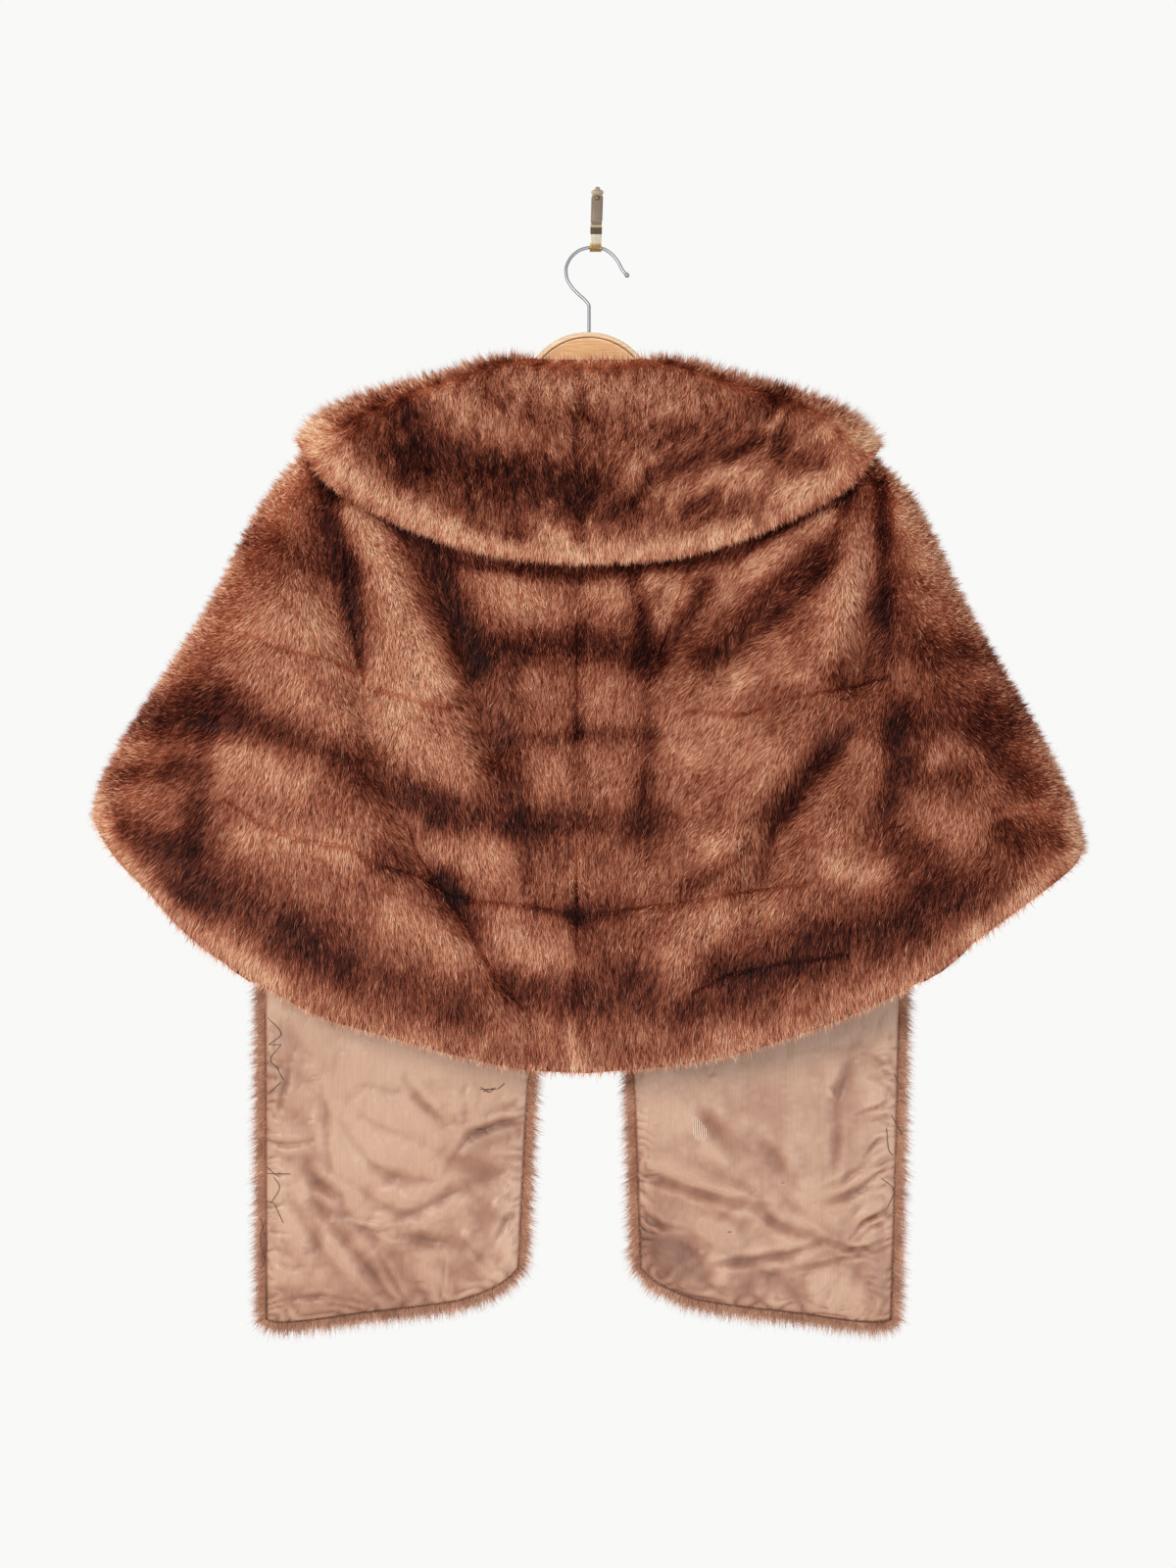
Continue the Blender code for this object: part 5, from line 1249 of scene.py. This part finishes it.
def build_panel(side, fur, rim_fur, wool):
    """Stole end's hide, with its nap towards the wall and a rolled rim of nap towards the viewer, whose hairs
    point out over the nearest edge."""
    across = np.concatenate([[0, .015, .05], np.linspace(.09, .95, 34), [.98, 1]])
    centre, normal = stole(side, across, np.linspace(0, 1, 39), 2.5)
    shade = wall_tone(*upright(centre))
    border = stole_border(side, 2.5)
    away = distance_to(border, *upright(centre))
    shade = shade + (.85 - shade) * (1 - ease(8, 16, away))
    near, far = PANEL_REACH
    hide = wall(f"hide_panel_{side}", centre, normal, near + .8 * (away < .1), far, wool, {"tone": shade})
    rng = np.random.default_rng(400 + (side == "left"))
    channels = np.concatenate([centre, normal], axis=-1)
    spots = spread_over(channels, hairs(channels, WALL_DENSITY), rng)
    way = combed(.2 * mottle(22, 60, *upright(spots)))
    nap = grow(f"nap_panel_{side}", spots, way, PANEL_LIFT, HAIR, wall_tone, fur, rng, 1)

    spots = spread_over(channels, hairs(channels, RIM_DENSITY), rng, (away < PANEL_RIM + 1).astype(float))
    w, z = upright(spots)
    step = .5
    slope_w = distance_to(border, w + step, z) - distance_to(border, w - step, z)
    slope_z = distance_to(border, w, z + step) - distance_to(border, w, z - step)
    way = unit(np.stack([-slope_w, 0 * w, -slope_z - .45 * 2 * step], axis=-1))
    inside = distance_to(border, w, z)
    at_edge = 1 - ease(0, 6, inside)
    spots = np.hstack([spots[:, :3] - RIM_FOOT * spots[:, 3:6], -spots[:, 3:6]])
    rim = grow(f"nap_rim_{side}", spots, way, RIM_LIFT - RIM_EDGE_DROP * at_edge,
               RIM_HAIR * (1.12 - .4 * ease(2, 9, inside)), rim_tone, rim_fur, rng, -1, 2.2 * at_edge,
               locks=RIM_LOCKS, breadth=RIM_HAIR_SHARE)
    declare(hide, f"fur_panel_{side}", [nap, rim])


def build_panel_lining(side, satin, thread, pale):
    """Satin within a stole end's rim, with its wrinkles, its sewn edge, the mending stitches and the darn. It
    is darker along its seam, is painted pale under the back's hem as painted light against the hem's shadow,
    and has the painted light and shade of its table."""
    across = np.sort(np.concatenate([np.linspace(0, 1, 88), [.004, .022, .035]]))
    down = np.concatenate([np.linspace(0, .16, 6), np.linspace(.18, 1, 134)])
    centre, normal = stole(side, across, down, PANEL_RIM)
    w, z = upright(centre)
    sewn = stole_border(side, PANEL_RIM)
    inside = distance_to(sewn, w, z)
    relief, caught = satin_relief(side, w, z, inside)
    hem = middle(BODY, side, np.linspace(0, 1, 25), np.ones(25))
    under = distance_to(np.column_stack(upright(hem)), w, z)
    # Painted light and shade: the table's broad darker and lighter places, and painted light under the back's
    # hem where its shadow falls
    tones = 1.4 * strokes(SATIN_PAINTED_SHADING[side], w, z) + 2.6 * np.exp(-(under / 34) ** 2)
    near = -FUR / 2 - LINING_GAP
    face = near - LINING - np.maximum(relief, SATIN_FLOOR)
    lining = wall(f"satin_panel_{side}", centre, normal, face, near, satin,
                  {"painted_shading": caught + tones - 2 * (1 - ease(0, 2.5, inside))})
    depth = np.full(len(sewn), BODY_DEPTH[-1][3] - PANEL_BOW * .5 - FUR / 2 - 1.6)
    line = np.column_stack([sewn[:, 0] + CENTRE_X, depth, sewn[:, 1]])
    pieces = [swept(f"seam_thread_{side}", tube(line[1:-1], .55, 5), thread)]
    pieces += [stitch(f"mending_{side}_{k}", side, marks, thread) for k, marks in enumerate(MENDING[side])]
    if side == "right":
        pieces += [stitch(f"darn_{k}", side, ((left, high), (left + 1, low)), pale)
                   for k, (left, high, low) in enumerate(DARN)]
    declare(lining, f"lining_panel_{side}", pieces)


def stitch(name, side, marks, thread):
    """Thread along marks (w, z) on the satin's face, just proud of it, sinking in at both ends."""
    w, z = curve(by_length(marks), np.linspace(0, 1, 14)).T
    inside = distance_to(stole_border(side, PANEL_RIM), w, z)
    raised = .5 * np.sin(math.pi * np.linspace(0, 1, 14)) ** .5
    below = (PANEL_TOP - z) / (PANEL_TOP - PANEL_HEM[-1][1])
    face = BODY_DEPTH[-1][3] - PANEL_BOW * np.sin(math.pi * below) - FUR / 2 - LINING_GAP - LINING
    depth = face - np.maximum(satin_relief(side, w, z, inside)[0], SATIN_FLOOR) - raised
    return swept(name, tube(np.column_stack([w + CENTRE_X, depth, z]), .33, 5), thread)


def build_lining(side, satin):
    """Satin inside the back and the side, hanging free of the hide, with soft ripples."""
    near = -FUR / 2 - LINING_GAP
    for label, front in (("back", False), ("side", True)):
        ends = (FRONT_TOP + LINING_ENDS[0], LINING_ENDS[1]) if front else LINING_ENDS
        u, v = grid(UNLOFTED, side, np.linspace(*ends, LINING_ROWS), LINING_CELLS, front)
        centre, normal = facing_out(side, middle(UNLOFTED, side, u, v), outward(UNLOFTED, side, u, v))
        # The ripples are also painted into the colour, as painted light and shade
        ripple = .35 * mottle(28, 50, centre[..., 0], centre[..., 2] * .3)
        lining = wall(f"satin_{label}_{side}", centre, normal, near - LINING + np.minimum(ripple, .4), near,
                      satin, {"painted_shading": ripple})
        declare(lining, f"lining_{label}_{side}")


# ---------------------------------------------------------------- hanger and wall hook
def tilted(points):
    """Points of the hanger, given upright at the wire's depth, tilted about where the wire rests. Heights are
    first stretched so that the tilted hanger keeps its height."""
    points = np.array(points, float)
    off = points[..., 1] - REST_Y
    drop = (points[..., 2] - REST_Z) / math.cos(TILT)
    points[..., 1] = REST_Y + off * math.cos(TILT) + drop * math.sin(TILT)
    points[..., 2] = REST_Z - off * math.sin(TILT) + drop * math.cos(TILT)
    return points


def hard(piece, node_name):
    """Puts a hard piece on the body root and hides the node that it stands for."""
    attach(piece, "root")
    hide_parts(node_name)


def build_wire(steel):
    """Bent wire: a circle carried along the smooth bend, swelling to a ball at its tip."""
    bend = by_length(WIRE_BEND)
    line = curve(bend, np.concatenate([np.linspace(0, 0.955, 120), np.linspace(0.96, 1, 16)]))
    end = line[-1] + (line[-1] - line[-2]) / np.linalg.norm(line[-1] - line[-2]) * BALL / 2
    line = np.vstack([line, (line[-1] + end) / 2, line[-1] * .2 + end * .8, line[-1] * .05 + end * .95, end])
    left_over = np.linalg.norm(line - end, axis=1)
    ball = np.sqrt(np.clip((BALL / 2) ** 2 - (left_over - BALL / 2) ** 2, .04, None))
    neck = np.where(left_over > BALL / 2, WIRE / 2, 0)
    radius = np.where(left_over < BALL, np.maximum(ball, neck), WIRE / 2)
    along = unit(np.gradient(line, axis=0))
    angle = np.linspace(0, math.tau, 20, endpoint=False)
    flat = radius[:, None] * np.cos(angle)
    rings = np.stack([line[:, :1] - along[:, 1:] * flat, REST_Y + radius[:, None] * np.sin(angle),
                      line[:, 1:] + along[:, :1] * flat], axis=-1)
    hard(swept("wire_hook", tilted(rings[:, ::-1]), steel), "hanger_hook")


def fold_height(w):
    """Height of the lower of the two shoulders' folds at a distance from the middle."""
    return np.minimum(*(curve(SIDE_FOLD[side], w)[..., 0] for side in SIDES))


def build_wood(beech):
    """Hanger: sections across it, flat on both faces and half round along the top and bottom edges, with a
    turned groove just inside the top edge. Its top is the crown's arc, then follows the shoulder's fold."""
    crown = CROWN_RADIUS * np.sin(np.linspace(0, math.radians(86), 60))
    arm = ARM_END - (ARM_END - FOLD_START + .5) * np.linspace(1, 0, 24) ** 1.3
    w = np.concatenate([crown, arm])
    w = np.concatenate([-w[:0:-1], w])
    reach = np.abs(w)
    table = curve(ARMS, reach)
    arc = CROWN_TOP - CROWN_RADIUS + np.sqrt(np.clip(CROWN_RADIUS ** 2 - reach ** 2, 0, None))
    under_fold = fold_height(np.maximum(reach, FOLD_START)) - ARM_CLEARANCE
    under_fold = under_fold - TIP_DROP * ease(TIP_START, ARM_END, reach)
    top = np.where(reach < CROWN_REACH, np.maximum(arc, under_fold), under_fold)
    bottom, half = table[:, 0], table[:, 1] / 2
    steep = np.sqrt(np.clip(1 - (reach / CROWN_RADIUS) ** 2, .16, 1))
    face, rounded = np.array(GROOVED_FACE), GROOVED_FACE[0][0]
    angle = np.linspace(0, math.pi / 2, 9)
    quarter = np.column_stack([rounded * (1 - np.sin(angle)), np.cos(angle)])[::-1]
    inward = np.concatenate([quarter[:, 0], face[:, 0]])
    out = half[:, None] * np.concatenate([quarter[:, 1], np.ones(len(face))]) - np.concatenate(
        [np.zeros(len(quarter)), face[:, 1]]) * (reach < CROWN_REACH)[:, None]
    room = (top - bottom)[:, None] - 1.01 * half[:, None]
    z = top[:, None] - np.minimum(inward * (half[:, None] / rounded) / steep[:, None],
                                  room * np.linspace(.4, .98, len(inward)))
    lower = np.linspace(0, math.pi, 9)
    low_y = half[:, None] * np.cos(lower)
    low_z = bottom[:, None] + half[:, None] - half[:, None] * np.sin(lower)
    ring_y = np.concatenate([out, low_y, -out[:, :0:-1]], axis=1)
    ring_z = np.concatenate([z, low_z, z[:, :0:-1]], axis=1)
    inset = np.concatenate([inward, np.full(9, 14.0), inward[:0:-1]])[::-1]
    rings = np.stack([HANGER_X + w[:, None] + 0 * ring_y, REST_Y + ring_y, ring_z], axis=-1)
    insets = np.concatenate([np.tile(inset, len(w)), [FAR_INSET, FAR_INSET]])
    hard(swept("wood_hanger", tilted(rings[:, ::-1]), beech, {"inset": insets}), "hanger_wood")


def strip_line():
    """Middle line of the brass strip: down the wall, out, down behind the wire, round under it and up the
    lip."""
    line = curve(by_length(STRIP_LINE), np.concatenate([np.linspace(0, .22, 40), np.linspace(.24, 1, 40)]))
    centre_y, centre_z = STRIP_LINE[-1][0] + TROUGH_RADIUS, STRIP_LINE[-1][1]
    angle = np.linspace(math.pi, 2 * math.pi, 25)[1:]
    trough = np.column_stack([centre_y + TROUGH_RADIUS * np.cos(angle),
                              centre_z + TROUGH_RADIUS * np.sin(angle)])
    lip = curve(LIP, np.linspace(0, 1, 12)) + (centre_y + TROUGH_RADIUS, 0)
    return np.vstack([line, trough, lip])


def build_wall_hook(brass):
    """Brass strip: a rectangle with rounded corners carried along its middle line, narrowed at the top into
    three leaves and pierced by two small holes."""
    line = strip_line()
    along = np.gradient(line, axis=0)
    along[:3] = (0, -1)
    along = unit(along)
    half = curve(LEAFED_TOP, STRIP_TOP - line[:, 1])
    thick = STRIP_THICKNESS / 2
    corner = np.array([(-1, -.5), (-.93, -.93), (-.5, -1), (.5, -1), (.93, -.93), (1, -.5),
                       (1, .5), (.93, .93), (.5, 1), (-.5, 1), (-.93, .93), (-1, .5)])
    across = np.sign(corner[:, 0]) * (half - (1 - np.abs(corner[:, 0])) * thick)
    face = corner[:, 1] * thick
    rings = np.stack([across + STRIP_LEAN * line[:, 1:], -(line[:, :1] - face * along[:, 1:]),
                      line[:, 1:] + face * along[:, :1]], axis=-1)
    strip = swept("brass_strip", rings, brass)
    for k, across in enumerate((-1, 1)):
        angle = np.linspace(0, math.tau, 16, endpoint=False)
        x, z = HOLE_Z * STRIP_LEAN + across * HOLE_APART / 2, HOLE_Z
        tool = swept(f"hole_{k}", np.stack([np.stack([x + HOLE / 2 * np.cos(angle), np.full(16, y),
                                                      z - HOLE / 2 * np.sin(angle)], axis=-1)
                                            for y in (2.0, -4.0)]), brass)
        cut = strip.modifiers.new("cut", "BOOLEAN")
        cut.object, cut.operation, cut.solver = tool, "DIFFERENCE", "EXACT"
        strip.data = bpy.data.meshes.new_from_object(
            strip.evaluated_get(bpy.context.evaluated_depsgraph_get()))
        strip.modifiers.clear()
        bpy.data.objects.remove(tool)
    hard(strip, "wall_hook")


def build_pin(brass):
    """Head of the pin: a pointed leaf, raised along its middle."""
    angle = np.linspace(0, math.tau, 24, endpoint=False)
    face = STRIP_THICKNESS + SEAM
    profile = ((1, face), (1, face + .5), (.8, face + 1.0), (.3, face + 1.3))
    leaf_x = PIN_HEAD / 2 * np.cos(angle) * (.75 + .2 * np.sin(angle))
    leaf_z = PIN_HEAD / 2 * np.sin(angle)
    rings = [np.stack([STRIP_LEAN * PIN_Z + r * leaf_x, np.full(24, -y), PIN_Z + r * leaf_z], axis=-1)
             for r, y in profile]
    hard(swept("brass_pin", rings, brass), "wall_pin")


# ---------------------------------------------------------------- the scene
def build_materials():
    """Every finish of the cape, its hanger and its wall hook, by a short name."""
    return {
        "fur": hair_material("mink_guard_hair", PELT_RAMP, ROOT_TO_TIP),
        "rim": hair_material("mink_edge_hair", RIM_RAMP, RIM_ROOT_TO_TIP),
        "wool": hide_material("mink_underwool", PELT_RAMP),
        "satin": satin_material(),
        "thread": thread_material("sewing_thread", "#5d4033"),
        "pale_thread": thread_material("darning_thread", "#e6d2c2"),
        "beech": beech_material(),
        "steel": wire_material(),
        "brass": brass_material(),
    }


def area_light(name, place, size, power, colour):
    """Square lamp at a place, pointed at the middle of the cape."""
    lamp = bpy.data.lights.new(name, "AREA")
    lamp.size = size
    lamp.energy = power
    lamp.color = linear(colour)[:3]
    made = bpy.data.objects.new(name, lamp)
    made.location = place
    made.rotation_euler = (Vector(MIDDLE_OF_CAPE) - Vector(place)).to_track_quat("-Z", "Y").to_euler()
    bpy.context.scene.collection.objects.link(made)


def build_studio():
    """White studio: a pale surround and a lit backdrop, a broad key light from the left, a weaker fill, a
    light from behind, a round floor far below and the camera."""
    scene = bpy.context.scene
    scene.view_settings.view_transform = "Standard"
    world = bpy.data.worlds.new("studio")
    world.use_nodes = True
    shader = world.node_tree.nodes["Background"]
    shader.inputs["Color"].default_value = linear("#f8f8f9")
    shader.inputs["Strength"].default_value = WORLD_STRENGTH
    scene.world = world
    for lamp in LAMPS:
        area_light(*lamp)
    angle = np.linspace(0, math.tau, 64, endpoint=False)
    paint = surface("floor_paint", Roughness=0.8, Base_Color="#eeeeee")[0]
    circle = np.stack([FLOOR_RADIUS * np.cos(angle), FLOOR_RADIUS * np.sin(angle), np.full(64, FLOOR_Z)],
                      axis=-1)
    add("floor", circle, np.arange(64)[None], paint, False)
    screen = surface("backdrop_paper", Roughness=0.9, Base_Color="#000000", Emission_Color="#f9f9f8",
                     Emission_Strength=1.0, Specular_IOR_Level=0.0)[0]
    side, low, high = BACKDROP_REACH, BACKDROP_BOTTOM, BACKDROP_TOP
    corners = [(x, BACKDROP_Y, z) for x, z in ((-side, low), (side, low), (side, high), (-side, high))]
    add("backdrop", corners, [[0, 1, 2, 3]], screen, False)
    lens = bpy.data.cameras.new("camera")
    lens.lens, lens.sensor_width = FOCAL_LENGTH, SENSOR
    camera = bpy.data.objects.new("camera", lens)
    camera.location = CAMERA_PLACE
    camera.rotation_euler = (math.pi / 2, 0, 0)
    scene.collection.objects.link(camera)
    scene.camera = camera


def main():
    """Builds every piece and the studio."""
    made = build_materials()
    for side in SIDES:
        build_back(side, made["fur"], made["wool"])
        build_side(side, made["fur"], made["wool"])
        build_collar(side, made["fur"], made["wool"])
        build_panel(side, made["fur"], made["rim"], made["wool"])
        build_panel_lining(side, made["satin"], made["thread"], made["pale_thread"])
        build_lining(side, made["satin"])
    build_wire(made["steel"])
    build_wood(made["beech"])
    build_wall_hook(made["brass"])
    build_pin(made["brass"])
    build_studio()


main()
